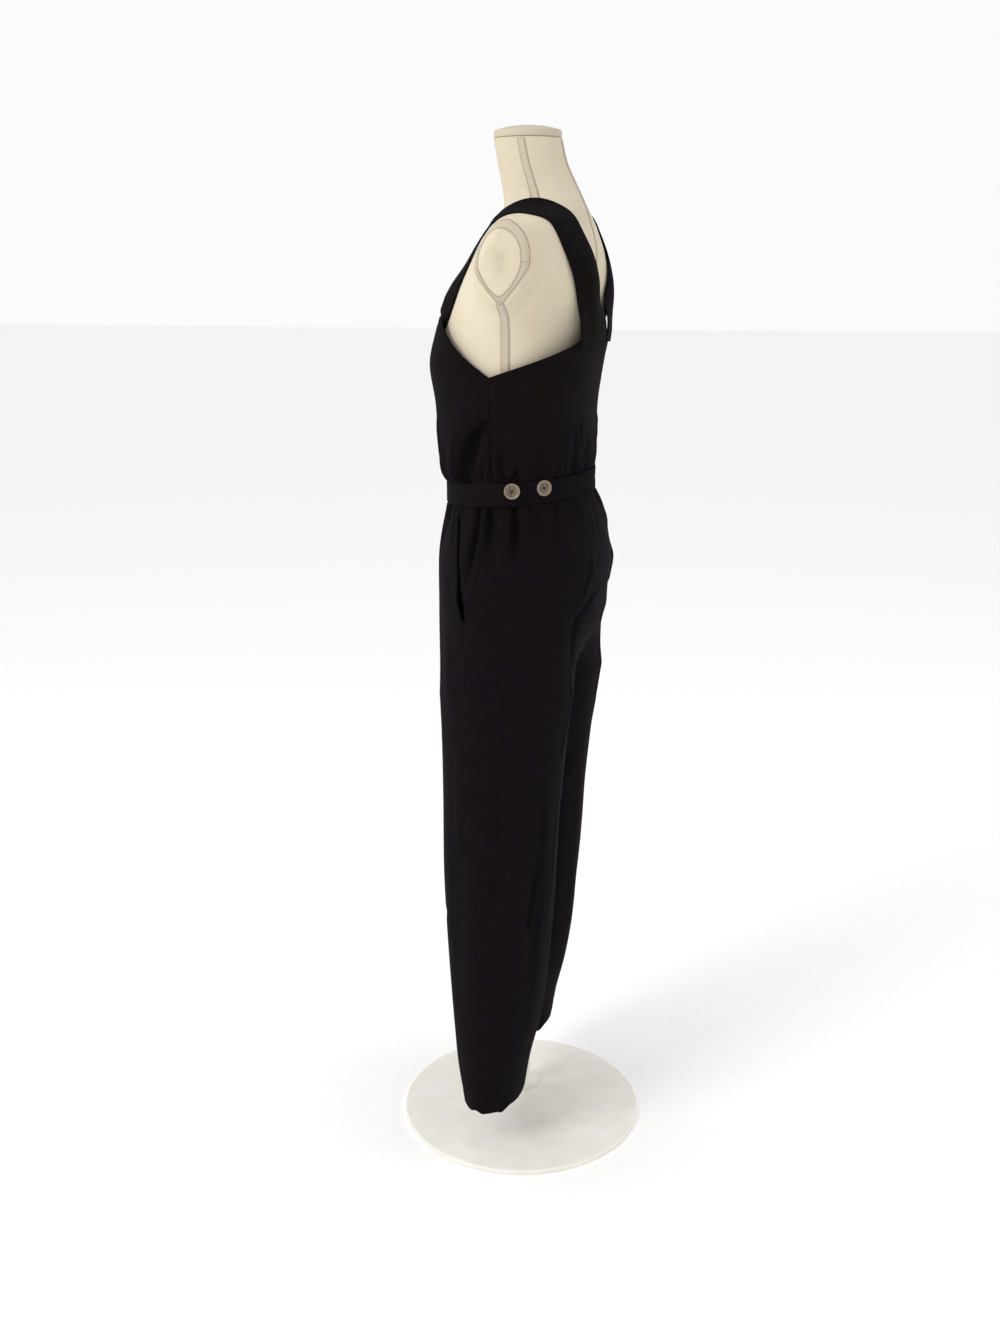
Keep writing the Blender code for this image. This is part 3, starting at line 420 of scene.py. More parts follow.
def black_crepe():
    """Black crepe: a matt, finely pebbled weave that swallows light, with a faint bloom at its edges."""
    made, tree, shader = new_material("black_crepe", {
        "Roughness": 0.85,
        "Specular IOR Level": 0.035,
        "Sheen Weight": 0.012,
        "Sheen Roughness": 0.40,
        "Sheen Tint": linear("#b9b2b4"),
    })
    along_cloth = add_node(tree, "ShaderNodeUVMap", {"uv_map": "cloth"})
    place = add_node(tree, "ShaderNodeTexCoord").outputs["Object"]
    # Threads lie 0.4 mm apart on the real cloth, drawn at 1.3 mm so that they show.
    weave = weave_height(tree, along_cloth, 0.0013)
    # Pebbles are about 1.1 mm across.
    pebble = add_node(tree, "ShaderNodeTexNoise", {}, {
        "Vector": along_cloth, "Scale": 900.0, "Detail": 3.0, "Roughness": 0.6,
    })
    # Warmer and cooler patches are about 110 mm across, and lighter clouds in them about 30 mm.
    patches = add_node(tree, "ShaderNodeTexNoise", {}, {
        "Vector": place, "Scale": 9.0, "Detail": 3.0, "Roughness": 0.55,
    })
    clouds = add_node(tree, "ShaderNodeTexNoise", {}, {"Vector": place, "Scale": 34.0, "Roughness": 0.6})
    warmth = add_node(tree, "ShaderNodeMapRange", {}, {
        "Value": patches, "From Min": 0.35, "From Max": 0.65,
    })
    bloom = add_node(tree, "ShaderNodeMapRange", {}, {"Value": clouds, "From Min": 0.3, "From Max": 0.7})
    lit = add_node(tree, "ShaderNodeMapRange", {}, {"Value": weave, "From Min": -0.6, "From Max": 0.6})
    dye = add_node(tree, "ShaderNodeMix", MIX, {
        "Factor": warmth, "A": linear("#140f15"), "B": linear("#161111"),
    })
    cloud = add_node(tree, "ShaderNodeMix", MIX, {
        "Factor": bloom, "A": linear("#b4b4b4"), "B": linear("#ffffff"),
    })
    tone = add_node(tree, "ShaderNodeMix", MULTIPLY, {"Factor": 0.35, "A": dye, "B": cloud})
    thread = add_node(tree, "ShaderNodeMix", MIX, {
        "Factor": lit, "A": linear("#8c8c8c"), "B": linear("#ffffff"),
    })
    woven = add_node(tree, "ShaderNodeMix", MULTIPLY, {"Factor": 0.45, "A": tone, "B": thread})
    # Painted shade: where the cloth lies deep in a fold's trough, its colour is darkened towards the deepest
    # black.
    trough = add_node(tree, "ShaderNodeAttribute", {"attribute_name": "painted_shade"}).outputs["Fac"]
    colour = add_node(tree, "ShaderNodeMix", MIX, {"Factor": trough, "A": woven, "B": linear("#040304")})
    finish(tree, shader, colour, (weave, 0.00012), (pebble, 0.00018))
    return made


def black_thread():
    """Polyester sewing thread: tightly twisted, a little smoother than the cloth and as black."""
    made, tree, shader = new_material("black_thread", {"Roughness": 0.6, "Specular IOR Level": 0.06})
    place = add_node(tree, "ShaderNodeTexCoord").outputs["Object"]
    # A ply of the twist is about 0.6 mm long.
    twist = add_node(tree, "ShaderNodeTexNoise", {}, {"Vector": place, "Scale": 1800.0, "Detail": 1.0})
    colour = add_node(tree, "ShaderNodeMix", MIX, {
        "Factor": twist, "A": linear("#0f0d0e"), "B": linear("#181516"),
    })
    finish(tree, shader, colour, (twist, 0.00005))
    return made


def form_jersey():
    """Ecru cotton jersey stretched over foam: fine ribs of stitches, soft and slightly uneven in tone."""
    made, tree, shader = new_material("ecru_jersey", {
        "Roughness": 0.85,
        "Specular IOR Level": 0.3,
        "Sheen Weight": 0.06,
        "Sheen Roughness": 0.5,
    })
    along_cloth = add_node(tree, "ShaderNodeUVMap", {"uv_map": "cloth"})
    place = add_node(tree, "ShaderNodeTexCoord").outputs["Object"]
    # Knitted stitches are 0.9 mm wide, drawn at 1.6 mm so that they show.
    knit = weave_height(tree, along_cloth, 0.0016)
    # The tone wanders over about 80 mm, and the fuzz on the jersey is about 2.5 mm long.
    wander = add_node(tree, "ShaderNodeTexNoise", {}, {"Vector": place, "Scale": 12.0, "Detail": 3.0})
    fuzz = add_node(tree, "ShaderNodeTexNoise", {}, {"Vector": place, "Scale": 400.0})
    warmth = add_node(tree, "ShaderNodeMapRange", {}, {"Value": wander, "From Min": 0.3, "From Max": 0.7})
    tone = add_node(tree, "ShaderNodeMix", MIX, {
        "Factor": warmth, "A": linear("#cfc3aa"), "B": linear("#d6cbb4"),
    })
    rise = add_node(tree, "ShaderNodeMapRange", {}, {"Value": knit, "From Min": -1.0, "From Max": 1.0})
    stitch = add_node(tree, "ShaderNodeMix", MIX, {
        "Factor": rise, "A": linear("#e8e8e8"), "B": linear("#ffffff"),
    })
    colour = add_node(tree, "ShaderNodeMix", MULTIPLY, {"Factor": 0.5, "A": tone, "B": stitch})
    finish(tree, shader, colour, (knit, 0.00010), (fuzz, 0.00010))
    return made


def cotton_tape():
    """Twill tape sewn over the form's seams: greyer and flatter than the jersey, with a slanted rib."""
    made, tree, shader = new_material("cotton_twill_tape", {"Roughness": 0.8, "Specular IOR Level": 0.3})
    along_cloth = add_node(tree, "ShaderNodeUVMap", {"uv_map": "cloth"})
    slant = add_node(tree, "ShaderNodeMapping", {}, {
        "Vector": along_cloth, "Rotation": (0, 0, math.radians(45)),
    })
    # Ribs of the twill are 1 mm apart, drawn at 1.8 mm so that they show.
    rib = weave_height(tree, slant, 0.0018)
    rise = add_node(tree, "ShaderNodeMapRange", {}, {"Value": rib, "From Min": -1.0, "From Max": 1.0})
    colour = add_node(tree, "ShaderNodeMix", MIX, {
        "Factor": rise, "A": linear("#b5aa96"), "B": linear("#c3b8a4"),
    })
    finish(tree, shader, colour, (rib, 0.00012))
    return made


def seam_shadow():
    """The narrow stitched channel of a seam in the jersey: the same cotton, drawn in, and darker with
    painted shade.
    """
    made, tree, shader = new_material("jersey_seam_shadow", {"Roughness": 0.9, "Specular IOR Level": 0.2})
    along_cloth = add_node(tree, "ShaderNodeUVMap", {"uv_map": "cloth"})
    # Stitches are 3 mm long.
    stitch = weave_height(tree, along_cloth, 0.0030)
    rise = add_node(tree, "ShaderNodeMapRange", {}, {"Value": stitch, "From Min": -1.0, "From Max": 1.0})
    colour = add_node(tree, "ShaderNodeMix", MIX, {
        "Factor": rise, "A": linear("#9a8d77"), "B": linear("#ada089"),
    })
    finish(tree, shader, colour, (stitch, 0.00015))
    return made


def horn():
    """Polished horn: tan with smoky brown streaks, a low even gloss and paler edges."""
    made, tree, shader = new_material("polished_horn", {
        "Roughness": 0.32,
        "IOR": 1.54,
        "Specular IOR Level": 0.5,
    })
    place = add_node(tree, "ShaderNodeTexCoord").outputs["Object"]
    # Streaks are about 4 mm across and four times as long.
    drawn_out = add_node(tree, "ShaderNodeMapping", {}, {"Vector": place, "Scale": (1.0, 1.0, 0.25)})
    streaks = add_node(tree, "ShaderNodeTexNoise", {}, {
        "Vector": drawn_out, "Scale": 260.0, "Detail": 4.0, "Roughness": 0.6,
    })
    smoke = add_node(tree, "ShaderNodeMapRange", {}, {"Value": streaks, "From Min": 0.35, "From Max": 0.68})
    body = add_node(tree, "ShaderNodeMix", MIX, {
        "Factor": smoke, "A": linear("#382f25"), "B": linear("#6d5e47"),
    })
    rim = add_node(tree, "ShaderNodeAttribute", {"attribute_name": "rim"}).outputs["Fac"]
    colour = add_node(tree, "ShaderNodeMix", MIX, {"Factor": rim, "A": body, "B": linear("#7d6e58")})
    finish(tree, shader, colour, (smoke, 0.00004))
    return made


def enamel():
    """Satin cream enamel sprayed on steel: smooth, with a faint orange peel."""
    made, tree, shader = new_material("cream_enamel", {"Roughness": 0.38, "Specular IOR Level": 0.5})
    place = add_node(tree, "ShaderNodeTexCoord").outputs["Object"]
    # The orange peel is about 2.4 mm across, and the worn patches about 40 mm.
    peel = add_node(tree, "ShaderNodeTexNoise", {}, {"Vector": place, "Scale": 420.0, "Detail": 1.0})
    patches = add_node(tree, "ShaderNodeTexNoise", {}, {"Vector": place, "Scale": 25.0, "Detail": 4.0})
    worn = add_node(tree, "ShaderNodeMapRange", {}, {"Value": patches, "From Min": 0.35, "From Max": 0.7})
    colour = add_node(tree, "ShaderNodeMix", MIX, {
        "Factor": worn, "A": linear("#e2ded4"), "B": linear("#e9e6de"),
    })
    finish(tree, shader, colour, (peel, 0.00006))
    return made


def studio_floor():
    """Matt white paint on a smooth floor, rolled on with a barely visible grain about 17 mm across."""
    made, tree, shader = new_material("white_floor_paint", {"Roughness": 0.75, "Specular IOR Level": 0.2})
    place = add_node(tree, "ShaderNodeTexCoord").outputs["Object"]
    grain = add_node(tree, "ShaderNodeTexNoise", {}, {"Vector": place, "Scale": 60.0, "Detail": 3.0})
    colour = add_node(tree, "ShaderNodeMix", MIX, {
        "Factor": grain, "A": linear("#f6f5f4"), "B": linear("#fafaf9"),
    })
    finish(tree, shader, colour)
    return made


CREPE, THREAD, JERSEY, TAPE = black_crepe(), black_thread(), form_jersey(), cotton_tape()
SEAM_SHADOW, HORN, ENAMEL, FLOOR = seam_shadow(), horn(), enamel(), studio_floor()


# ---------------------------------------------------------------- reading the tables
def read_at(table, heights):
    """The table's columns at an array of heights, each on a smooth curve through its rows."""
    rows = sorted(table, key=lambda row: row.height)
    values = np.array(rows, float)
    at = values[:, 0]
    heights = np.clip(np.asarray(heights, float), at[0], at[-1])
    i = np.clip(np.searchsorted(at, heights) - 1, 0, len(at) - 2)
    slopes = np.gradient(values, at, axis=0)
    step = (at[i + 1] - at[i])[..., None]
    t = (heights - at[i])[..., None] / step
    curve = (2 * t**3 - 3 * t**2 + 1) * values[i] + (3 * t**2 - 2 * t**3) * values[i + 1]
    curve += step * ((t**3 - 2 * t**2 + t) * slopes[i] + (t**3 - t**2) * slopes[i + 1])
    return type(rows[0])(*np.moveaxis(curve, -1, 0))


def smooth_step(value, start, end):
    t = np.clip((value - start) / (end - start), 0.0, 1.0)
    return t * t * (3 - 2 * t)


def bell(distance, width):
    return np.exp(-((distance / width) ** 2))


def tilt_lift(y, height):
    return BAND_TILT * y * (1 - smooth_step(np.abs(height), 0.02, TILT_REACH))


# ---------------------------------------------------------------- surfaces, for arrays of places
def rounded(section, angle):
    c, s = np.cos(angle), np.sin(angle)
    n = section.squareness
    reach = (np.abs(c / section.half_breadth) ** n + np.abs(s / section.half_depth) ** n) ** (-1 / n)
    return reach * c, section.centre_y - reach * s


def form_surface(angle, height):
    x, y = rounded(read_at(FORM, height), angle)
    x = np.clip(x, -ARM_PLANE, ARM_PLANE)
    for swelling, way in ((BUST, -1), (BLADE, 1)):
        swell = bell(np.abs(x) - swelling.x, swelling.width) * bell(height - swelling.height, swelling.tall)
        y = np.where(y * way > 0, y + way * swelling.reach * swell, y)
    return np.stack([x, y, WAIST_Z + height], -1)


def bodice_surface(angle, height):
    x, y = rounded(read_at(BODICE, height), angle)
    return np.stack([x, y, WAIST_Z + height + tilt_lift(y, height)], -1)


def trouser_surface(side, height, front, lift=0.0):
    """The left half of the trousers, without its folds."""
    height = np.maximum(height, HEM + lift)
    same = level_leg(height, lift)
    hips = read_at(HIPS, np.maximum(same, CROTCH))
    leg = read_at(LEG, np.minimum(same, CROTCH))
    way = 1 if front else -1
    hip_x, hip_y = rounded(hips, way * side * math.pi / 2)
    turn = way * side * math.pi - SEAM_TURN * (1 - side)
    leg_x = leg.centre_x + leg.half_breadth * np.cos(turn)
    leg_y = leg.centre_y - leg.half_depth * np.sin(turn)
    above = np.clip((same - CROTCH) / RISE_CURVE, 0.0, 1.0)
    round_share = 1 - np.sqrt(np.maximum(1 - (1 - above) ** 2, 0.0))
    share = smooth_step(1 - above, 0, 1)
    share = share + side**2 * (round_share - share)
    x, y = hip_x + share * (leg_x - hip_x), hip_y + share * (leg_y - hip_y)
    return np.stack([x, y, WAIST_Z + height + tilt_lift(y, height)], -1)


def level_leg(height, lift):
    """Height on the left leg that this height on a hitched-up leg stands for."""
    length = CROTCH - HEM
    return np.where(height > CROTCH, height, CROTCH + (height - CROTCH) * length / (length - lift))


def as_drawn(points):
    return points


def mirrored(points):
    return points * np.array([-1, 1, 1])


# ---------------------------------------------------------------- folds
def varied(folds, seed):
    """The same kind of folds, moved and scaled a little, for the other side."""
    draw = random.Random(seed)
    made = []
    for fold in folds:
        shift = draw.uniform(-1, 1) * MIRROR_SHIFT * (1 if abs(fold.side) <= 1 else 60)
        scale = 1 + draw.uniform(-1, 1) * MIRROR_SCALE
        values = fold._asdict()
        values["side"] += shift
        if "to_side" in values:
            values["to_side"] += shift
        values["depth"] *= scale
        made.append(type(fold)(**values))
    return made


def soft_floor(depth, limit):
    """Troughs that never get deeper than limit, so that the cloth stays clear of the form."""
    return np.where(depth < 0, -limit * (1 - np.exp(np.minimum(depth, 0) / limit)), depth)


def hanging_depth(folds, side, height):
    depth = np.zeros_like(side)
    for fold in folds:
        along = np.clip((fold.top - height) / (fold.top - fold.bottom), 0, 1)
        place = fold.side + fold.drift * along
        spread = fold.width * (1 + 0.9 * along)
        depth += fold.depth * bell(side - place, spread) * (1 - smooth_step(along, 0.25, 1.0))
    return depth


def leg_depth(side, height):
    depth = np.zeros_like(side)
    for fold in LEG_FOLDS:
        along = np.clip((fold.top - height) / (fold.top - fold.bottom), 0, 1)
        rise = np.sin(math.pi * along) ** 1.5
        depth += fold.depth * bell(side - fold.side - fold.drift * along, fold.width) * rise
    return depth


def crease_depth(creases, side, height, breadth):
    """Depth of creases that run from place to place, where one step of side is breadth metres."""
    depth = np.zeros_like(side)
    for crease in creases:
        run_x = (crease.to_side - crease.side) * breadth
        run_y = crease.to_height - crease.height
        length = math.hypot(run_x, run_y)
        from_x = (side - crease.side) * breadth
        from_y = height - crease.height
        along = (from_x * run_x + from_y * run_y) / length**2
        off = (from_x * run_y - from_y * run_x) / length
        off = off + 0.10 * length * (along - along**2) * (1 if crease.depth > 0 else -1)
        fade = smooth_step(along, -0.12, 0.25) * (1 - smooth_step(along, 0.72, 1.12))
        width = crease.width * (0.75 + 0.5 * np.clip(along, 0, 1))
        depth += crease.depth * bell(off, width) * fade
    return depth


def ripples(place, count, seed):
    """Uneven ripples about 1 high over places 0 to 1, some count of them."""
    draw = random.Random(seed)
    total = np.zeros_like(place)
    for share, weight in ((0.61, 0.5), (1.0, 0.8), (1.57, 0.45), (2.3, 0.25)):
        total += weight * np.sin(2 * math.pi * (place * count * share + draw.random()))
    return total


# ---------------------------------------------------------------- sheets of cloth
def grid_normals(points):
    across = np.gradient(points, axis=1)
    along = np.gradient(points, axis=0)
    normals = np.cross(across, along)
    return normals / np.maximum(np.linalg.norm(normals, axis=2, keepdims=True), 1e-12)


def outward_normals(points, centre):
    """Normals that point away from an axis through centre, an x and y."""
    normals = grid_normals(points)
    away = points[..., :2] - np.array(centre)
    facing = (normals[..., :2] * away).sum()
    return normals if facing > 0 else -normals


def run_length(points, axis):
    return float(np.linalg.norm(np.diff(points, axis=axis), axis=2).sum(axis=axis).mean())


def finished_mesh(name, bm):
    mesh = bpy.data.meshes.new(name)
    bm.to_mesh(mesh)
    bm.free()
    return mesh


def sheet_mesh(name, points, outwards, left_out=None, painted_shade=None):
    """A mesh of quads through a grid of points, facing outwards, with a UV map in metres.

    left_out says which quads to leave out, by row and column. The last argument is a grid of 0 to 1 of
    painted shade, by how deep in a trough each point lies.
    """
    along, across = points.shape[0] - 1, points.shape[1] - 1
    bm = bmesh.new()
    bmesh.ops.create_grid(bm, x_segments=across, y_segments=along, size=0.5)
    flat = np.array([v.co[:2] for v in bm.verts])
    flat = (flat - flat.min(0)) / (flat.max(0) - flat.min(0))
    columns = np.rint(flat[:, 0] * across).astype(int)
    rows = np.rint(flat[:, 1] * along).astype(int)
    size = (run_length(points, 1), run_length(points, 0))
    layer = bm.loops.layers.uv.new("cloth")
    trough = bm.verts.layers.float.new("painted_shade")
    for vert, row, column in zip(bm.verts, rows, columns):
        vert.co = points[row, column]
        if painted_shade is not None:
            vert[trough] = float(painted_shade[row, column])
    bm.verts.index_update()
    dropped = []
    for face in bm.faces:
        for loop in face.loops:
            k = loop.vert.index
            loop[layer].uv = (flat[k, 0] * size[0], flat[k, 1] * size[1])
        corner = (min(rows[v.index] for v in face.verts), min(columns[v.index] for v in face.verts))
        if left_out and left_out(*corner):
            dropped.append(face)
    bmesh.ops.delete(bm, geom=dropped, context="FACES")
    bm.normal_update()
    facing = sum(
        face.normal.dot(Vector(outwards[rows[face.verts[0].index], columns[face.verts[0].index]]))
        for face in bm.faces
    )
    if facing < 0:
        bmesh.ops.reverse_faces(bm, faces=bm.faces)
    mesh = finished_mesh(name, bm)
    mesh.shade_smooth()
    return mesh


def add_object(name, mesh, material, nodes=()):
    obj = bpy.data.objects.new(name, mesh)
    bpy.context.scene.collection.objects.link(obj)
    obj.data.materials.clear()
    obj.data.materials.append(material)
    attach(obj, "root")
    if nodes:
        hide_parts(*nodes)
    return obj


def thicken(obj, thickness):
    """Makes the piece's sheet a wall, with the sheet as its outside."""
    wall = obj.modifiers.new("wall", "SOLIDIFY")
    wall.thickness = thickness
    wall.offset = -1.0
    return obj


def cloth_piece(node, points, outwards, thickness, left_out=None, painted_shade=None):
    """A wall of black cloth whose outside is the grid of points, in place of a node."""
    mesh = sheet_mesh(node, points, outwards, left_out, painted_shade)
    return thicken(add_object(f"{node}_cloth", mesh, CREPE, [node]), thickness)


def edge_pinch(distance):
    """A seam draws the cloth in along its line."""
    return -SEAM_PINCH * bell(distance, SEAM_PINCH_WIDTH)


# ---------------------------------------------------------------- stitches
def stitch_run(bm, line, normals, length=0.0026, gap=0.0012, radius=0.00026, lift=0.0001):
    """Stitches along a line of points, each a small spindle lying on the cloth."""
    steps = np.linalg.norm(np.diff(line, axis=0), axis=1)
    reach = np.concatenate([[0], np.cumsum(steps)])
    place = gap / 2
    while place + length < reach[-1]:
        ends = [
            np.array([np.interp(at, reach, line[:, k]) for k in range(3)])
            for at in (place, place + length)
        ]
        up = Vector([np.interp(place + length / 2, reach, normals[:, k]) for k in range(3)]).normalized()
        along = Vector(ends[1] - ends[0]).normalized()
        side = up.cross(along).normalized()
        up = along.cross(side)
        middle = Vector((ends[0] + ends[1]) / 2) + up * lift
        turn = Matrix((along * length * 0.62, side * radius, up * radius)).transposed().to_4x4()
        bmesh.ops.create_icosphere(bm, subdivisions=1, radius=1.0, matrix=Matrix.Translation(middle) @ turn)
        place += length + gap


def stitch_piece(name, runs, **sizes):
    """One joined mesh of stitches along several runs of points and normals."""
    bm = bmesh.new()
    for line, normals in runs:
        stitch_run(bm, line, normals, **sizes)
    mesh = finished_mesh(name, bm)
    mesh.shade_smooth()
    return add_object(name, mesh, THREAD)


# ---------------------------------------------------------------- trousers
def mouth_gape(height):
    """Breadth of the pocket mouth, as a share of the quarter."""
    return read_at(MOUTH, height).gape


def mouth_side(height):
    """The edge of the pocket mouth that is nearer to the side seam."""
    return read_at(MOUTH, height).side - mouth_gape(height)


def panel_heights(lift, count):
    heights = np.linspace(-BAND_WIDTH / 2 + TUCK, HEM, count)
    scale = (CROTCH - HEM - lift) / (CROTCH - HEM)
    return np.where(heights > CROTCH, heights, CROTCH + (heights - CROTCH) * scale)


def front_sides(heights, across, mouth_column):
    """Places round the front quarter for each row, with two neighbouring columns at the pocket mouth."""
    mouth = mouth_side(heights)[:, None]
    after = mouth + mouth_gape(heights)[:, None]
    column = np.arange(across + 1)[None, :]
    before = mouth * column / mouth_column
    beyond = after + (1 - after) * (column - mouth_column - 1) / (across - mouth_column - 1)
    return np.where(column <= mouth_column, before, beyond)


def trouser_sheet(front, lift, creases, folds, sides, heights):
    """Points and normals of a quarter of the trousers with its folds, its heights as on an even leg, and the
    painted shade of each point, by how deep in a trough it lies.
    """
    height = np.repeat(heights[:, None], sides.shape[1], axis=1)
    same = level_leg(height, lift)
    points = trouser_surface(sides, height, front, lift)
    normals = outward_normals(points, LEG_AXIS)
    depth = hanging_depth(folds, sides, same) + leg_depth(sides, same)
    depth += crease_depth(creases, sides, same, HALF_GIRTH)
    near_waist = 1 - smooth_step(-same, 0.020, 0.062)
    depth += WAIST_RIPPLE * ripples(sides, 9, 4 if front else 5) * near_waist
    from_seam = np.minimum(sides, 1 - sides) * HALF_GIRTH
    depth = depth * smooth_step(from_seam, 0.0, SEAM_FADE) + edge_pinch(from_seam)
    depth -= HEM_GROOVE * bell(same - HEM - HEM_DEPTH, HEM_GROOVE_WIDTH)
    hem_wave = HEM_RIPPLE * ripples(sides, 4, 6 if front else 7) * smooth_step(from_seam, 0.0, 0.03)
    depth += hem_wave * (1 - smooth_step(same - HEM, 0.0, 0.05))
    tucked = 1 - smooth_step(-BAND_WIDTH / 2 - same, -TUCK, TUCK_EASE)
    # Painted shade, from 0 to 1, by how deep in a trough each point lies.
    painted_shade = np.clip(-depth / PAINTED_SHADE_FULL, 0, 1) * (1 - tucked)
    depth = soft_floor(depth, TROUGH_MOST * (1 + smooth_step(-same, 0.05, 0.12)))
    depth = depth * (1 - tucked) - TUCK_DEPTH * tucked
    points = points + normals * depth[..., None]
    points[..., 2] += 2.2 * hem_wave * (1 - smooth_step(same - HEM, 0.0, 0.03))
    points[..., 0] = np.maximum(points[..., 0], SEAM_GAP / 2)
    return points, outward_normals(points, LEG_AXIS), same, painted_shade


def row_at(heights, height):
    return int(np.argmin(np.abs(heights - height)))


def trouser_front(word, lift, turn, creases, folds):
    """A front panel cut open at the pocket mouth, with its pocket bag and stitching."""
    heights = panel_heights(lift, PANEL_ROWS + 1)
    top_row, foot_row = row_at(heights, MOUTH_TOP), row_at(heights, MOUTH_FOOT)
    sides = front_sides(heights, PANEL_COLUMNS, MOUTH_COLUMN)
    points, normals, same, painted_shade = trouser_sheet(True, lift, creases, folds, sides, heights)
    points = points + normals * mouth_lift(sides, same)[..., None]
    panel = cloth_piece(
        f"trouser_front_{word}", turn(points), turn(normals), CLOTH,
        lambda row, column: column == MOUTH_COLUMN and top_row <= row < foot_row, painted_shade,
    )
    pocket(word, lift, turn, creases, folds)
    mouth_rows = slice(top_row, foot_row + 1)
    hem_row = row_at(same[:, 0], HEM + HEM_DEPTH)
    runs = [
        (turn(points)[mouth_rows, column], turn(normals)[mouth_rows, column])
        for column in (MOUTH_COLUMN + 2, MOUTH_COLUMN + 4)
    ]
    runs.append((turn(points)[hem_row], turn(normals)[hem_row]))
    stitch_piece(f"stitching_front_{word}", runs)
    bartacks(word, turn, points, normals, top_row, foot_row)


def trouser_back(word, lift, turn, creases, folds):
    heights = panel_heights(lift, PANEL_ROWS + 1)
    sides = np.repeat(np.linspace(0, 1, PANEL_COLUMNS + 1)[None, :], len(heights), axis=0)
    points, normals, same, painted_shade = trouser_sheet(False, lift, creases, folds, sides, heights)
    panel = cloth_piece(f"trouser_back_{word}", turn(points), turn(normals), CLOTH, None, painted_shade)
    hem_row = row_at(same[:, 0], HEM + HEM_DEPTH)
    stitch_piece(f"stitching_back_{word}", [(turn(points)[hem_row], turn(normals)[hem_row])])


def trousers():
    """Four panels with their pocket bags and stitching. The right side has folds of its own."""
    trouser_front("left", 0.0, as_drawn, FRONT_CREASES, FRONT_FOLDS)
    trouser_back("left", 0.0, as_drawn, BACK_CREASES, BACK_FOLDS)
    trouser_front("right", RIGHT_HEM_LIFT, mirrored, varied(FRONT_CREASES, 12), varied(FRONT_FOLDS, 11))
    trouser_back("right", RIGHT_HEM_LIFT, mirrored, varied(BACK_CREASES, 14), varied(BACK_FOLDS, 13))


def mouth_lift(sides, same):
    """The pocket's front edge is folded double, and stands away from the bag where it gapes."""
    inside = smooth_step(-same, -MOUTH_TOP - 0.01, -MOUTH_TOP + 0.01)
    inside = inside * (1 - smooth_step(-same, 0.176, 0.190))
    distance = (sides - mouth_side(same) - mouth_gape(same)) * HALF_GIRTH
    front = np.where(distance > -1e-6, 0.0011 * (1 - smooth_step(distance, 0.004, 0.012)), 0.0)
    gape = 0.0022 * smooth_step(mouth_gape(same), 0.015, 0.040) * bell(distance, 0.012)
    behind = np.where(distance < 0, -0.0012 * bell(distance + mouth_gape(same) * HALF_GIRTH, 0.004), 0.0)
    return (front + gape * (distance > -1e-6) + behind) * inside


def pocket(word, lift, turn, creases, folds):
    """The pocket bag behind the mouth, which sags inwards where the mouth gapes."""
    rows, across = 70, 50
    heights = np.linspace(-0.022, BAG_FOOT, rows + 1)
    share = np.linspace(0, 1, across + 1)[None, :]
    start = 0.30 * mouth_side(heights)[:, None]
    sides = start + (0.80 - start) * share
    points, normals, same, _ = trouser_sheet(True, lift, creases, folds, sides, heights)
    sag = smooth_step(mouth_gape(same), 0.012, 0.040)
    middle = (sides - mouth_side(same) - mouth_gape(same) / 2) * HALF_GIRTH
    depth = CLOTH + 0.0012 + 0.0045 * sag * bell(middle, 0.016)
    points = points - normals * depth[..., None]
    # Painted shade: the whole bag is given full shade, the deepest black of the cloth.
    bag = cloth_piece(f"pocket_{word}", turn(points), turn(normals), CLOTH, None, 0 * same + 1)


def bartacks(word, turn, points, normals, top_row, foot_row):
    """Dense bars of thread across both ends of the pocket mouth."""
    runs = []
    for row in (top_row, foot_row):
        for k in range(-1, 2):
            line = points[row + k, MOUTH_COLUMN - 1 : MOUTH_COLUMN + 4]
            across = np.linspace(0, 1, 2)[:, None]
            line = line[0] * (1 - across) + line[-1] * across
            up = normals[row + k, MOUTH_COLUMN + 1]
            line = line + up * 0.0009
            runs.append((turn(line), turn(np.repeat(up[None, :], 2, axis=0))))
    stitch_piece(f"bartacks_{word}", runs, length=0.0075, gap=0.0004, radius=0.0004)


# ---------------------------------------------------------------- bodice
def edge_height(edge, angle):
    angles = [abs(corner.angle) for corner in edge]
    return np.interp(np.abs(angle), angles, [corner.height for corner in edge])


def bodice_angles(edge, across):
    """Angles from side seam to side seam, with a column at each corner of the top edge."""
    corners = [abs(corner.angle) for corner in edge]
    corners = corners + [180 - angle for angle in reversed(corners[:-1])]
    columns = [round(angle / 180 * across) for angle in corners]
    return np.interp(np.arange(across + 1), columns, corners)


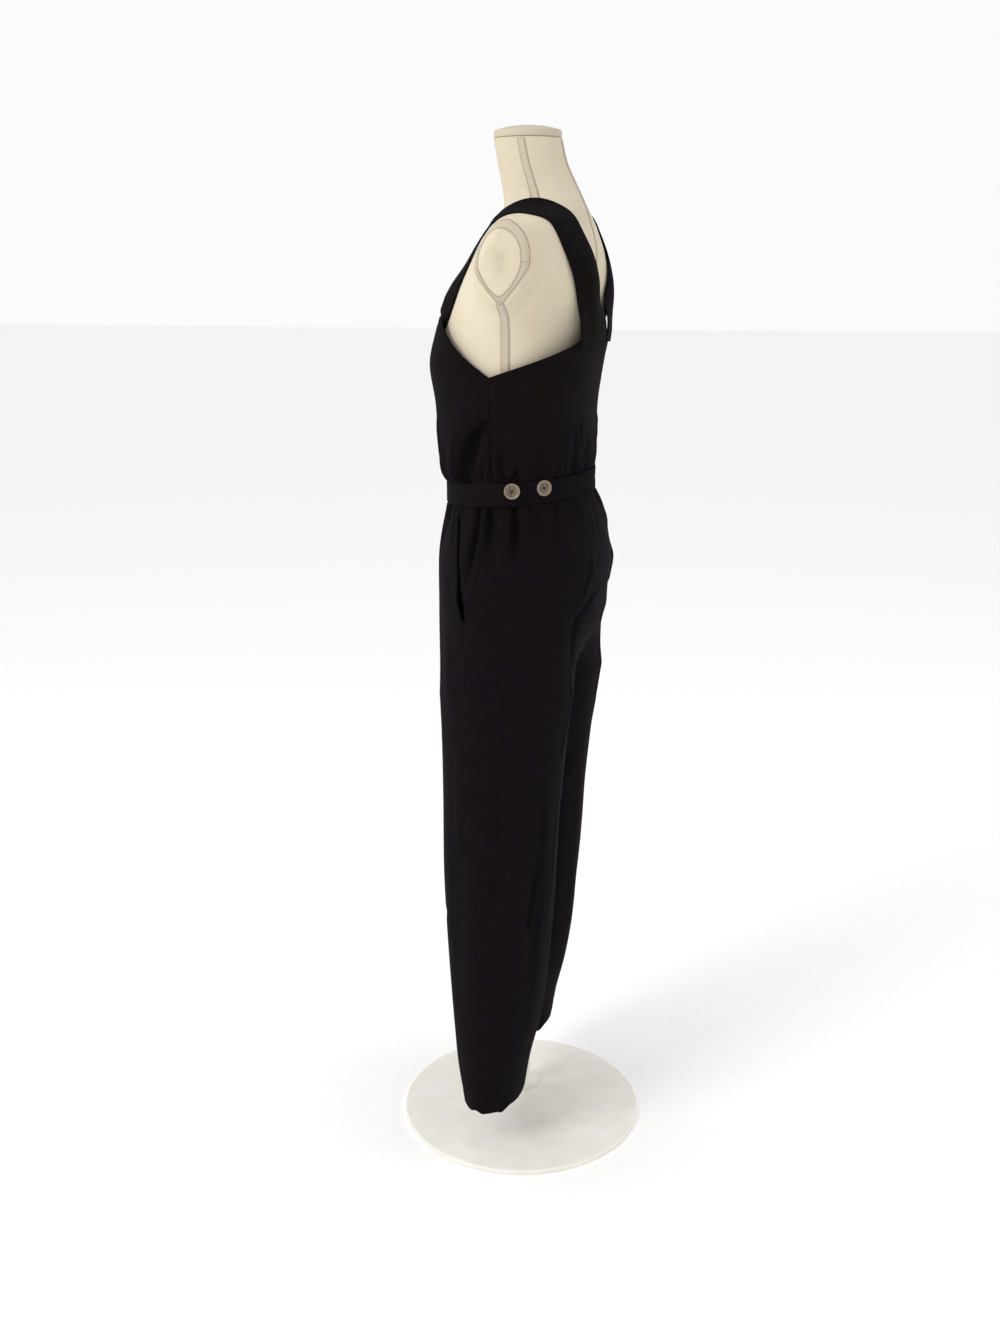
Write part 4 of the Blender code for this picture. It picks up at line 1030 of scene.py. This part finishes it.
def bodice_panel(node, edge, creases, seed):
    """A bodice panel from side seam to side seam, gathered into the waistband, with its stitching."""
    across, along = 150, 66
    angles = bodice_angles(edge, across)[None, :]
    reach = np.where(angles <= 90, angles, 180 - angles)
    foot = BAND_WIDTH / 2 - TUCK
    top = edge_height(edge, reach)
    share = np.linspace(0, 1, along + 1)[:, None]
    height = foot + share * (top - foot)
    sign = 1 if edge is FRONT_EDGE else -1
    turn = np.radians(sign * angles) + 0 * height
    points = bodice_surface(turn, height)
    normals = outward_normals(points, BODY_AXIS)
    reach = reach + 0 * height
    left = np.broadcast_to(angles <= 90, reach.shape)
    depth = np.where(
        left,
        crease_depth(creases, reach, height, DEGREE),
        crease_depth(varied(creases, seed), reach, height, DEGREE),
    )
    near_waist = 1 - smooth_step(height, 0.022, 0.060)
    round_body = np.broadcast_to(angles / 180, reach.shape)
    depth = depth + BODICE_RIPPLE * ripples(round_body, 21, seed) * near_waist
    depth += BLOUSE * bell(height - 0.034, 0.014)
    if edge is BACK_EDGE:
        depth += BACK_BLOUSE * bell(height - 0.050, 0.022) * smooth_step(reach, 25, 60)
    depth = depth * smooth_step(reach * DEGREE, 0.0, SEAM_FADE / 2) + edge_pinch(reach * DEGREE)
    depth -= EDGE_GROOVE * bell(top - height - 0.0065, EDGE_GROOVE_WIDTH)
    tucked = 1 - smooth_step(height - BAND_WIDTH / 2, -TUCK, TUCK_EASE)
    # Painted shade, from 0 to 1, by how deep in a trough each point lies.
    painted_shade = np.clip(-depth / PAINTED_SHADE_FULL, 0, 1) * (1 - tucked)
    depth = soft_floor(depth, BODICE_TROUGH_MOST)
    depth = depth * (1 - tucked) - TUCK_DEPTH * tucked
    points = points + normals * depth[..., None]
    panel = cloth_piece(node, points, normals, CLOTH, None, painted_shade)
    normals = outward_normals(points, BODY_AXIS)
    below = EDGE_STITCH / (top[0] - foot)
    row = (1 - below) * along
    low = np.floor(row).astype(int)
    part = (row - low)[:, None]
    columns = np.arange(across + 1)
    line = points[low, columns] * (1 - part) + points[low + 1, columns] * part
    stitch_piece(f"stitching_{node}", [(line, normals[low, columns])])
    return panel


def bodice():
    front = bodice_panel("bodice_front", FRONT_EDGE, FRONT_BODICE_CREASES, 21)
    back = bodice_panel("bodice_back", BACK_EDGE, BACK_BODICE_CREASES, 22)


# ---------------------------------------------------------------- straps
def catmull(rows, t):
    """Rows at t, from 0 at the first to 1 at the last, on a smooth curve. Rows may be points or grids."""
    values = np.array(rows, float)
    place = t * (len(values) - 1)
    i = min(int(place), len(values) - 2)
    f = place - i
    before, after = values[max(i - 1, 0)], values[min(i + 2, len(values) - 1)]
    here, there = values[i], values[i + 1]
    curve = 2 * here + (there - before) * f + (2 * before - 5 * here + 4 * there - after) * f**2
    curve += (3 * here - before - 3 * there + after) * f**3
    return 0.5 * curve


def off_form(point, tree):
    near, normal, _, _ = tree.find_nearest(point)
    off = (point - near).dot(normal)
    if point.y > PULL_FROM_Y:
        pull = smooth_step(point.z - WAIST_Z, PULL_NONE, PULL_FULL)
        off -= pull * max(off - STRAP_MOST_OFF, 0)
    return near + normal * max(off, STRAP_OFF_FORM)


def off_bodice(point):
    height = point.z - WAIST_Z
    section = read_at(BODICE, height)
    angle = math.atan2(section.centre_y - point.y, point.x)
    edge = FRONT_EDGE if angle > 0 else BACK_EDGE
    if height > edge_height(edge, math.degrees(angle)) + STRAP_RAMP:
        return point
    cloth = Vector(bodice_surface(angle, height))
    axis = Vector((0, float(section.centre_y), cloth.z))
    out = (cloth - axis).normalized()
    short = (cloth - axis).length + STRAP_OFF_BODICE - (point - axis).dot(out)
    return point + out * max(short, 0)


def strap_lines(tree):
    """The inner face of the left strap, coarsely, pushed clear of the form and of the bodice."""
    stations, across = 24, 5
    lines = []
    for k in range(stations + 1):
        here = StrapPoint(*catmull(STRAP, k / stations))
        ahead = StrapPoint(*catmull(STRAP, min(k / stations + 0.01, 1)))
        behind = StrapPoint(*catmull(STRAP, max(k / stations - 0.01, 0)))
        centre = Vector((here.x, here.y, WAIST_Z + here.height))
        along = Vector((ahead.x - behind.x, ahead.y - behind.y, ahead.height - behind.height)).normalized()
        normal = tree.find_nearest(centre)[1]
        widthways = along.cross(normal).normalized()
        if widthways.x < 0:
            widthways = -widthways
        shares = np.linspace(-1, 1, across)
        lines.append([centre + widthways * (here.half_width * share) for share in shares])
    for _ in range(6):
        grid = np.array([[tuple(point) for point in row] for row in lines])
        grid[1:-1] = (grid[:-2] + 2 * grid[1:-1] + grid[2:]) / 4
        grid[:, :, 0] = np.maximum(grid[:, :, 0], STRAP_LEAST_X)
        lines = [[off_bodice(off_form(Vector(point), tree)) for point in row] for row in grid]
    return np.array([[tuple(point) for point in row] for row in lines])


def twisted(fine, tree):
    """The strap settled on the form.

    Its front stretch is turned so that the armhole edge lies on the form and the neck edge stands off. Its
    back stretch lies flat down to the shoulder blade.
    """
    t = np.linspace(0, 1, fine.shape[0])[:, None]
    near = np.linspace(0, 1, fine.shape[1])[None, :]
    stretch = 1 - smooth_step(t, 0.20, 0.30)
    flat = smooth_step(t, 0.34, 0.42) * (1 - smooth_step(t, 0.60, 0.74))
    pull = stretch * near**1.3 + flat
    turned = fine.copy()
    for place in np.argwhere(pull > 0):
        at = tuple(place)
        spot, normal, _, _ = tree.find_nearest(Vector(fine[at]))
        turned[at] += pull[at] * (np.array(spot + normal * STRAP_ON_FORM) - fine[at])
    lift = smooth_step(t, 0.05, 0.10) * (1 - smooth_step(t, 0.12, 0.19))
    turned[..., 1] -= STRAP_NECK_LIFT * lift * (1 - near)
    return turned


def sewn_inside(fine):
    """The neck edge of the strap's front end moved behind the bodice's top edge, where it is sewn on."""
    height = fine[..., 2] - WAIST_Z
    section = read_at(BODICE, height)
    angle = np.arctan2(section.centre_y - fine[..., 1], fine[..., 0])
    cloth = bodice_surface(angle, height)
    axis = np.stack([0 * height, section.centre_y, cloth[..., 2]], -1)
    out = cloth - axis
    reach = np.linalg.norm(out, axis=-1, keepdims=True)
    inside = axis + out / reach * (reach - CLOTH - STRAP_CLOTH - 0.0008)
    t = np.linspace(0, 1, fine.shape[0])[:, None, None]
    near = np.linspace(0, 1, fine.shape[1])[None, :, None]
    share = (1 - smooth_step(t, 0.01, 0.12)) * (1 - smooth_step(height, 0.246, 0.262))[..., None]
    return fine + share * (1 - near**1.3) * (inside - fine)


def straps(tree):
    """Two wide straps, folded double at their edges, with a crease where each turns over the shoulder."""
    coarse = strap_lines(tree)
    stations, across = 150, 20
    rows = np.array([catmull(coarse, t) for t in np.linspace(0, 1, stations + 1)])
    fine = np.array([catmull(rows.transpose(1, 0, 2), t) for t in np.linspace(0, 1, across + 1)])
    fine = sewn_inside(twisted(fine.transpose(1, 0, 2), tree))
    normals = grid_normals(fine)
    middle = normals[stations // 4, across // 2]
    chest = np.array([0, 0.02, WAIST_Z + 0.20])
    if middle.dot(fine[stations // 4, across // 2] - chest) < 0:
        normals = -normals
    t = np.linspace(0, 1, stations + 1)[:, None]
    s = np.linspace(-1, 1, across + 1)[None, :]
    width = np.linalg.norm(np.diff(fine, axis=1), axis=2).sum(1)[:, None]
    edge = (1 - np.abs(s)) * width / 2
    depth = STRAP_CLOTH - 0.0006 * bell(edge, 0.0016) - 0.00035 * bell(edge - 0.0060, 0.0010)
    depth = depth - 0.0016 * bell((t - 0.315 - 0.05 * s) * 0.62, 0.010) * smooth_step(s, -1.0, 0.2)
    depth = depth + 0.0012 * bell((t - 0.345 - 0.05 * s) * 0.62, 0.010)
    points = fine + normals * depth[..., None]
    points[..., 0] = np.maximum(points[..., 0], STRAP_LEAST_X)
    for word, turn in (("left", as_drawn), ("right", mirrored)):
        strap = cloth_piece(f"strap_{word}", turn(points), turn(normals), STRAP_CLOTH)
        runs = []
        for k in (2, across - 2):
            runs.append((turn(points)[2:-2, k], turn(normals)[2:-2, k]))
        for k in (3, stations - 3):
            runs.append((turn(points)[k, 2:-2], turn(normals)[k, 2:-2]))
        stitch_piece(f"stitching_strap_{word}", runs)


# ---------------------------------------------------------------- waistband
def band_surface(angle, rise, out):
    """angle in degrees; rise and out from the middle and the inside of the band."""
    half_breadth = BAND_HALF_BREADTH - BAND_CLOTH + out
    half_depth = BAND_HALF_DEPTH - BAND_CLOTH + out
    c, s = np.cos(np.radians(angle)), np.sin(np.radians(angle))
    reach = 1 / np.sqrt((c / half_breadth) ** 2 + (s / half_depth) ** 2)
    x, y = reach * c, -reach * s
    return np.stack([x, y, WAIST_Z + rise + BAND_TILT * y], -1)


def behind_seam(angle):
    return np.where(angle < 90, -angle, angle - 180)


def tab_lift(angle):
    return (BAND_CLOTH + 2 * SEAM_GAP) * smooth_step(behind_seam(angle), -4, 4)


def tab_half_width(angle):
    half = BAND_WIDTH / 2 - SEAM_GAP
    left = np.maximum(-TAB_END - behind_seam(angle), 0)
    round_end = 0.42 + 0.58 * np.sqrt(np.maximum(1 - (1 - np.minimum(left / TAB_ROUND, 1)) ** 2, 0))
    return half * round_end


def front_band(share):
    """A flat band whose rounded tabs lap over the back band."""
    across = 260
    ends = TAB_ROUND * (1 - np.cos(np.linspace(0, math.pi / 2, 22)))
    middle = np.linspace(TAB_END + TAB_ROUND, 180 - TAB_END - TAB_ROUND, across - 41)
    angles = np.concatenate([TAB_END + ends[:-1], middle, 180 - TAB_END - ends[-2::-1]])[None, :]
    half = tab_half_width(angles)
    rise = share * half
    out = tab_lift(angles) + BAND_CLOTH + 0 * rise
    from_edge = half * (1 - np.abs(share))
    out = out - BAND_EDGE_ROUND * bell(from_edge, 0.0012) - 0.0003 * bell(from_edge - 0.0035, 0.0008)
    out = out + 0.00022 * ripples(angles / 180 + 0 * rise, 13, 31)
    points = band_surface(angles + 0 * rise, rise, out)
    normals = outward_normals(points, BODY_AXIS)
    band = cloth_piece("waistband_front", points, normals, BAND_CLOTH)
    runs = [(points[k], normals[k]) for k in (1, len(share) - 2)]
    runs += [(points[1:-1, k], normals[1:-1, k]) for k in (1, -2)]
    stitch_piece("stitching_band_front", runs)


def back_band(share):
    """An elasticated band, flat under the tabs and gathered behind them, stitched along its middle."""
    across = 300
    angles = np.linspace(-180 - BACK_BAND_START, BACK_BAND_START, across + 1)[None, :]
    rise = share * (BAND_WIDTH / 2 - SEAM_GAP) + 0 * angles
    from_edge = (BAND_WIDTH / 2) * (1 - np.abs(share))
    off_side = np.where(angles > -90, -angles, 180 + angles)
    gathered = smooth_step(off_side, 33, 50)
    waves = ripples(angles / 180 + 0.012 * share, 30, 33)
    out = BAND_CLOTH - BAND_EDGE_ROUND * bell(from_edge, 0.0012) + 0 * rise
    out = out + 0.00075 * gathered * waves * (0.55 + 0.45 * np.abs(share))
    out = out - 0.0007 * gathered * bell(share * BAND_WIDTH / 2, 0.0012)
    points = band_surface(angles + 0 * rise, rise, out)
    normals = outward_normals(points, BODY_AXIS)
    band = cloth_piece("waistband_back", points, normals, BAND_CLOTH)
    middle = len(share) // 2
    stitch_piece("stitching_band_back", [(points[middle], normals[middle])])


def waistband():
    share = np.linspace(-1, 1, 15)[:, None]
    front_band(share)
    back_band(share)


# ---------------------------------------------------------------- buttons
def turned_mesh(name, profile, steps):
    """A solid of revolution about Z from radius and height pairs, bottom to top."""
    bm = bmesh.new()
    line = [bm.verts.new((radius, 0, height)) for radius, height in profile]
    edges = [bm.edges.new(pair) for pair in zip(line, line[1:])]
    about = {"cent": (0, 0, 0), "axis": (0, 0, 1), "angle": 2 * math.pi}
    bmesh.ops.spin(bm, geom=line + edges, steps=steps, use_merge=True, **about)
    bmesh.ops.remove_doubles(bm, verts=bm.verts, dist=1e-6)
    bmesh.ops.recalc_face_normals(bm, faces=bm.faces)
    return finished_mesh(name, bm)


def arc(centre_x, centre_y, radius, start, end, count):
    """Points of an arc, with angles in degrees."""
    turns = np.radians(np.linspace(start, end, count))
    return [(centre_x + radius * math.cos(t), centre_y + radius * math.sin(t)) for t in turns]


def button_mesh(name):
    """A four-hole button with a rolled rim and a dished middle, and an attribute that marks the rim."""
    radius, thick = BUTTON_RADIUS, BUTTON_THICK
    profile = [(0, 0), (radius - 0.0022, 0)]
    profile += arc(radius - 0.0013, 0.0013, 0.0013, -60, 0, 5)
    profile += arc(radius - 0.0012, thick - 0.0012, 0.0012, 0, 150, 9)
    profile += arc(radius - 0.0042, thick - 0.0002, 0.0012, -50, -90, 4)
    profile += [(0.0040, thick - 0.0014), (0, thick - 0.0013)]
    disc = bpy.data.objects.new(name, turned_mesh(name, profile, 56))
    bpy.context.scene.collection.objects.link(disc)
    cutters = []
    bore_profile = [(0, -thick), (HOLE_RADIUS, -thick), (HOLE_RADIUS, 2 * thick), (0, 2 * thick)]
    for k in range(4):
        angle = math.pi / 4 + k * math.pi / 2
        bore = turned_mesh("bore", bore_profile, 14)
        bore.transform(Matrix.Translation((HOLE_RING * math.cos(angle), HOLE_RING * math.sin(angle), 0)))
        cutter = bpy.data.objects.new("bore", bore)
        bpy.context.scene.collection.objects.link(cutter)
        cut = disc.modifiers.new("hole", "BOOLEAN")
        cut.object = cutter
        cutters.append(cutter)
    bpy.context.view_layer.update()
    shape = disc.evaluated_get(bpy.context.evaluated_depsgraph_get())
    mesh = bpy.data.meshes.new_from_object(shape)
    for obj in [disc, *cutters]:
        bpy.data.objects.remove(obj)
    mark = mesh.attributes.new("rim", "FLOAT", "POINT")
    out = [math.hypot(v.co.x, v.co.y) for v in mesh.vertices]
    mark.data.foreach_set("value", [float(smooth_step(r, radius - 0.0038, radius - 0.0022)) for r in out])
    mesh.shade_smooth()
    mesh.set_sharp_from_angle(angle=math.radians(35))
    return mesh


def thread_cross_mesh(name):
    """Thread that runs through the four holes in two bars."""
    bm = bmesh.new()
    reach = HOLE_RING * math.sqrt(0.5)
    for x in (-reach, reach):
        for k in range(3):
            place = Matrix.Translation((x + (k - 1) * 0.0004, 0, BUTTON_THICK - 0.0011))
            size = Matrix.Diagonal((0.00032, reach * 1.35, 0.00055, 1))
            bmesh.ops.create_icosphere(bm, subdivisions=2, radius=1.0, matrix=place @ size)
    mesh = finished_mesh(name, bm)
    mesh.shade_smooth()
    return mesh


def button_seat(angle, lift, flip, spin):
    """Where a button sits on the band: its place and the way it faces, with a slight turn of its own."""
    def on_band(degrees, rise):
        return Vector(band_surface(np.array(degrees), np.array(rise), lift + BAND_CLOTH + SEAM_GAP))

    place = on_band(angle, BUTTON_RISE)
    out = (on_band(angle + 0.5, 0) - on_band(angle - 0.5, 0)).cross(Vector((0, 0, 1))).normalized()
    if out.dot(place - Vector((0, 0, place.z))) < 0:
        out = -out
    if flip:
        place.x, out.x = -place.x, -out.x
    facing = out.to_track_quat("Z", "Y").to_matrix().to_4x4()
    return Matrix.Translation(place) @ facing @ Matrix.Rotation(math.radians(spin), 4, "Z")


def buttons():
    """On each side one button through the tab and a spare one behind it, sewn on with crossed thread."""
    tab = float(tab_lift(np.array(TAB_BUTTON)))
    for word, flip in (("left", False), ("right", True)):
        for use, angle, lift, spin in (("tab", TAB_BUTTON, tab, 12), ("spare", SPARE_BUTTON, 0.0, -20)):
            seat = button_seat(angle, lift, flip, spin)
            node = f"button_{use}_{word}"
            disc = button_mesh(node)
            disc.transform(seat)
            add_object(f"{node}_turned", disc, HORN, [node])
            cross = thread_cross_mesh(f"thread_{use}_{word}")
            cross.transform(seat)
            add_object(f"thread_{use}_{word}", cross, THREAD)


# ---------------------------------------------------------------- dress form
def even_heights(count):
    """Heights from the form's foot to its top, evenly spaced along its profile."""
    trial = np.linspace(FORM[0].height, FORM[-1].height, 4000)
    breadth = read_at(FORM, trial).half_breadth
    steps = np.hypot(np.diff(trial), np.diff(np.minimum(breadth, ARM_PLANE)))
    reach = np.concatenate([[0], np.cumsum(steps)])
    return np.interp(np.linspace(0, reach[-1], count), reach, trial)


def closed_solid(mesh):
    """The mesh with its seam merged and its open ends filled."""
    bm = bmesh.new()
    bm.from_mesh(mesh)
    bmesh.ops.remove_doubles(bm, verts=bm.verts, dist=1e-5)
    bmesh.ops.holes_fill(bm, edges=bm.edges, sides=0)
    bmesh.ops.recalc_face_normals(bm, faces=bm.faces)
    bm.to_mesh(mesh)
    bm.free()
    mesh.shade_smooth()
    mesh.set_sharp_from_angle(angle=math.radians(50))


def dress_form():
    turns, rows = 180, 230
    angles = np.linspace(0, 2 * math.pi, turns + 1)[None, :]
    heights = even_heights(rows + 1)[:, None]
    points = form_surface(angles + 0 * heights, heights + 0 * angles)
    outwards = points - np.array([0, 0.01, 0])
    outwards[..., 2] = 0
    mesh = sheet_mesh("form_body", points, outwards)
    closed_solid(mesh)
    body = add_object("form_body_cover", mesh, JERSEY, ["form_body"])
    return mesh_tree(mesh)


def egg(share, angle, half_wide, half_tall, shift, pointed):
    """y and z of a ring round the armhole, wide end up; pointed draws its foot out to a V."""
    foot = np.clip((1 + np.sin(angle)) / 0.9, 0, 1) ** (0.5 * pointed)
    breadth = 1 + PLATE_EGG * np.sin(angle)
    y = PLATE_PLACE[0] + shift + share * half_wide * np.cos(angle) * breadth * foot
    z = WAIST_Z + PLATE_PLACE[1] + share * half_tall * np.sin(angle)
    return y, z


def plate_out(share):
    """How far the plate stands off the form, from its middle to past its rim."""
    return np.interp(share, *zip(*PLATE_RISE))


def on_side(trees, way, y, z, lift):
    """Points of the form's side at y and z, lifted off the outermost of the trees by lift."""
    points = np.zeros((*y.shape, 3))
    for place in np.ndindex(y.shape):
        start = Vector((way * 0.4, y[place], z[place]))
        hits = [tree.ray_cast(start, Vector((-way, 0, 0)))[0] for tree in trees]
        points[place] = max((hit for hit in hits if hit), key=lambda hit: way * hit.x)
        points[place][0] += way * lift[place]
    return points


def mesh_tree(mesh):
    return BVHTree.FromPolygons([v.co for v in mesh.vertices], [tuple(p.vertices) for p in mesh.polygons])


def arm_plates(tree):
    """A low domed plate over each armhole, a tape round its rim, and a tape down the side below it."""
    turns = 96
    angles = np.linspace(0, 2 * math.pi, turns + 1)[None, :]
    for word, way in (("left", 1), ("right", -1)):
        shares = np.linspace(0.01, PLATE_RISE[-1][0], 34)[:, None]
        y, z = egg(shares, angles, PLATE_HALF_WIDE, PLATE_HALF_TALL, 0, 0.0)
        points = on_side([tree], way, y, z, plate_out(shares) + 0 * angles)
        outwards = np.zeros_like(points)
        outwards[..., 0] = way
        mesh = sheet_mesh("plate", points, outwards)
        closed_solid(mesh)
        add_object(f"arm_plate_{word}", mesh, JERSEY, [f"form_arm_plate_{word}"])
        trees = [tree, mesh_tree(mesh)]

        inner = egg(1, angles, RING_INNER[0], RING_INNER[1], RING_SHIFT, 0.35)
        outer = egg(1, angles, RING_OUTER[0], RING_OUTER[1], 0, 1.0)
        across = np.linspace(0, 1, 9)[:, None]
        y = inner[0] + (outer[0] - inner[0]) * across
        z = inner[1] + (outer[1] - inner[1]) * across
        points = on_side(trees, way, y, z, 0 * y + 0.0008)
        tape_piece(f"arm_tape_{word}", points, outwards[:1, :1] + 0 * points, TAPE)
        # The seams at the tape's edges, as narrow strips of painted shade.
        for name, ring in (("inner", inner), ("outer", outer)):
            y = ring[0] + RING_SEAM * np.linspace(-1, 1, 3)[:, None] * np.cos(angles)
            z = ring[1] + RING_SEAM * np.linspace(-1, 1, 3)[:, None] * np.sin(angles)
            points = on_side(trees, way, y, z, 0 * y + 0.0010)
            tape_piece(f"arm_seam_shadow_{name}_{word}", points, outwards[:1, :1] + 0 * points, SEAM_SHADOW)
        side_tape(word, way, trees)


def tape_piece(name, points, outwards, material):
    mesh = sheet_mesh(name, points, outwards)
    return thicken(add_object(name, mesh, material), TAPE_WALL)


def side_tape(word, way, trees):
    """A tape down the form's side from the armhole, with a seam stitched at each of its edges, drawn as a
    strip of painted shade.
    """
    top = PLATE_PLACE[1] - RING_OUTER[1] + 0.002
    heights = np.linspace(top, 0.120, 60)[:, None]
    down = top - heights
    centre = PLATE_PLACE[0] + 0.0030 * smooth_step(down, 0, 0.02) - 0.0025 * smooth_step(down, 0, 0.1)
    for name, start, end, material, lift in (
        ("side_tape", -0.0062, 0.0062, TAPE, 0.0010),
        ("side_seam_shadow_front", -0.0049, -0.0043, SEAM_SHADOW, 0.0012),
        ("side_seam_shadow_back", 0.0043, 0.0049, SEAM_SHADOW, 0.0012),
    ):
        y = centre + np.linspace(start, end, 5)[None, :]
        z = WAIST_Z + heights + 0 * y
        points = on_side(trees, way, y, z, 0 * y + lift)
        outwards = np.zeros_like(points)
        outwards[..., 0] = way
        tape_piece(f"{name}_{word}", points, outwards, material)


def upright_tape(name, angle, low, high, half_width, material, lift=0.0008):
    """A narrow tape up the form at an angle in radians, between two heights."""
    heights = np.linspace(low, high, 90)[:, None]
    points = form_surface(angle + 0 * heights, heights)[:, 0]
    section = read_at(FORM, heights[:, 0])
    spread = half_width / section.half_breadth
    columns = np.linspace(-1, 1, 5)[None, :]
    points = form_surface(angle + columns * spread[:, None], heights + 0 * columns)
    normals = outward_normals(points, (0, 0.01))
    tape_piece(name, points + normals * lift, normals, material)


def form_trim():
    """Seams and tapes of the form's cover that lie above the bodice; the seams are strips of painted shade.
    """
    neck_foot, neck_top = 0.405, FORM[-1].height - 0.002
    for word, angle, way in (("left", -0.05, 1), ("right", math.pi + 0.05, -1)):
        upright_tape(f"neck_tape_{word}", angle, neck_foot, neck_top, 0.0050, TAPE)
        for edge, shift in (("front", 0.095), ("back", -0.095)):
            name = f"neck_seam_shadow_{edge}_{word}"
            upright_tape(name, angle + way * shift, neck_foot, neck_top, 0.0004, SEAM_SHADOW, 0.0009)
    for word, angle in (("front", math.pi / 2), ("back", -math.pi / 2)):
        upright_tape(f"centre_tape_{word}", angle, 0.16, neck_top, 0.0045, TAPE)


def neck_cap():
    """A plain turned cap on the cut-off neck."""
    neck = FORM[-1]
    cap = neck.half_breadth - 0.0015
    profile = [(0, 0), (cap - 0.0025, 0)]
    profile += arc(cap - 0.0025, 0.0025, 0.0025, -90, 0, 6)
    profile += arc(cap - 0.0040, 0.0080, 0.0040, 0, 80, 8)
    profile += [(0.030, 0.0158), (0.015, 0.0175), (0, 0.018)]
    mesh = turned_mesh("neck_cap", profile, 72)
    mesh.transform(Matrix.Translation((0, neck.centre_y, WAIST_Z + neck.height + SEAM_GAP)))
    mesh.shade_smooth()
    add_object("neck_cap", mesh, TAPE, ["form_neck_cap"])


# ---------------------------------------------------------------- stand
def stand():
    """Flange, pole and base, turned from the sizes of their solids, with eased edges."""
    for node in ("stand_flange", "stand_pole", "stand_base"):
        low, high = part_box(node)
        centre = (low + high) / 2
        radius, foot, top = (high.x - low.x) / 2, low.z, high.z
        if node == "stand_base":
            profile = [(0, foot)] + arc(radius - 0.001, foot + 0.001, 0.001, -90, 0, 4)
            profile += arc(radius - 0.003, top - 0.003, 0.003, 0, 90, 8) + [(0, top)]
        elif node == "stand_flange":
            collar, plate = 0.020, radius
            profile = [(0, foot)] + arc(collar - 0.002, foot + 0.002, 0.002, -90, 0, 5)
            profile += [(collar, foot + 0.0195)] + arc(collar + 0.003, foot + 0.0195, 0.003, 180, 110, 5)
            profile += arc(plate - 0.0012, top - 0.0035, 0.0012, 80, 0, 5) + [(plate, top), (0, top)]
        else:
            pole, wide = 0.0125, radius
            profile = [(0, foot), (wide - 0.0006, foot), (wide, foot + 0.0006)]
            profile += arc(wide - 0.002, foot + 0.006, 0.002, 0, 70, 5)
            profile += arc(pole + 0.014, foot + 0.0235, 0.0155, 235, 180, 9)
            profile += [(pole, foot + 0.030), (pole, top), (0, top)]
        mesh = turned_mesh(node, profile, 96)
        mesh.transform(Matrix.Translation((centre.x, centre.y, 0)))
        mesh.shade_smooth()
        mesh.set_sharp_from_angle(angle=math.radians(40))
        add_object(f"{node}_turned", mesh, ENAMEL, [node])


# ---------------------------------------------------------------- floor, light and camera
def floor():
    bm = bmesh.new()
    bmesh.ops.create_grid(bm, x_segments=8, y_segments=8, size=30)
    obj = bpy.data.objects.new("floor", finished_mesh("floor", bm))
    bpy.context.scene.collection.objects.link(obj)
    obj.data.materials.append(FLOOR)


def area_light(name, place, target, size, power):
    data = bpy.data.lights.new(name, "AREA")
    data.shape = "DISK"
    data.size = size
    data.energy = power
    obj = bpy.data.objects.new(name, data)
    bpy.context.scene.collection.objects.link(obj)
    obj.location = place
    obj.rotation_mode = "QUATERNION"
    obj.rotation_quaternion = (Vector(target) - Vector(place)).to_track_quat("-Z", "Y")


def lights():
    world = bpy.data.worlds.new("studio")
    bpy.context.scene.world = world
    world.use_nodes = True
    sky = world.node_tree.nodes["Background"]
    sky.inputs["Color"].default_value = linear("#fbfbfc")
    sky.inputs["Strength"].default_value = 1.0
    area_light("key", (2.7, -1.9, 2.8), (0, 0, 0.9), 1.6, 62)
    area_light("back", (-1.2, 3.4, 2.4), (0, 0, 0.9), 1.8, 16)


def camera():
    data = bpy.data.cameras.new("camera")
    data.sensor_width = 36.0
    data.lens = 37.81
    data.clip_end = 100
    obj = bpy.data.objects.new("camera", data)
    bpy.context.scene.collection.objects.link(obj)
    right = Vector((-0.28066, 0.95980, -0.00416))
    up = Vector((-0.26513, -0.07336, 0.96142))
    forward = Vector((-0.92246, -0.27093, -0.27506))
    turn = Matrix((right, up, -forward)).transposed()
    obj.matrix_world = Matrix.Translation((2.0493, 0.5670, 1.3965)) @ turn.to_4x4()
    bpy.context.scene.camera = obj


def main():
    camera()
    form_tree = dress_form()
    arm_plates(form_tree)
    form_trim()
    neck_cap()
    stand()
    trousers()
    bodice()
    straps(form_tree)
    waistband()
    buttons()
    floor()
    lights()
    bpy.context.scene.view_settings.view_transform = "Standard"


main()
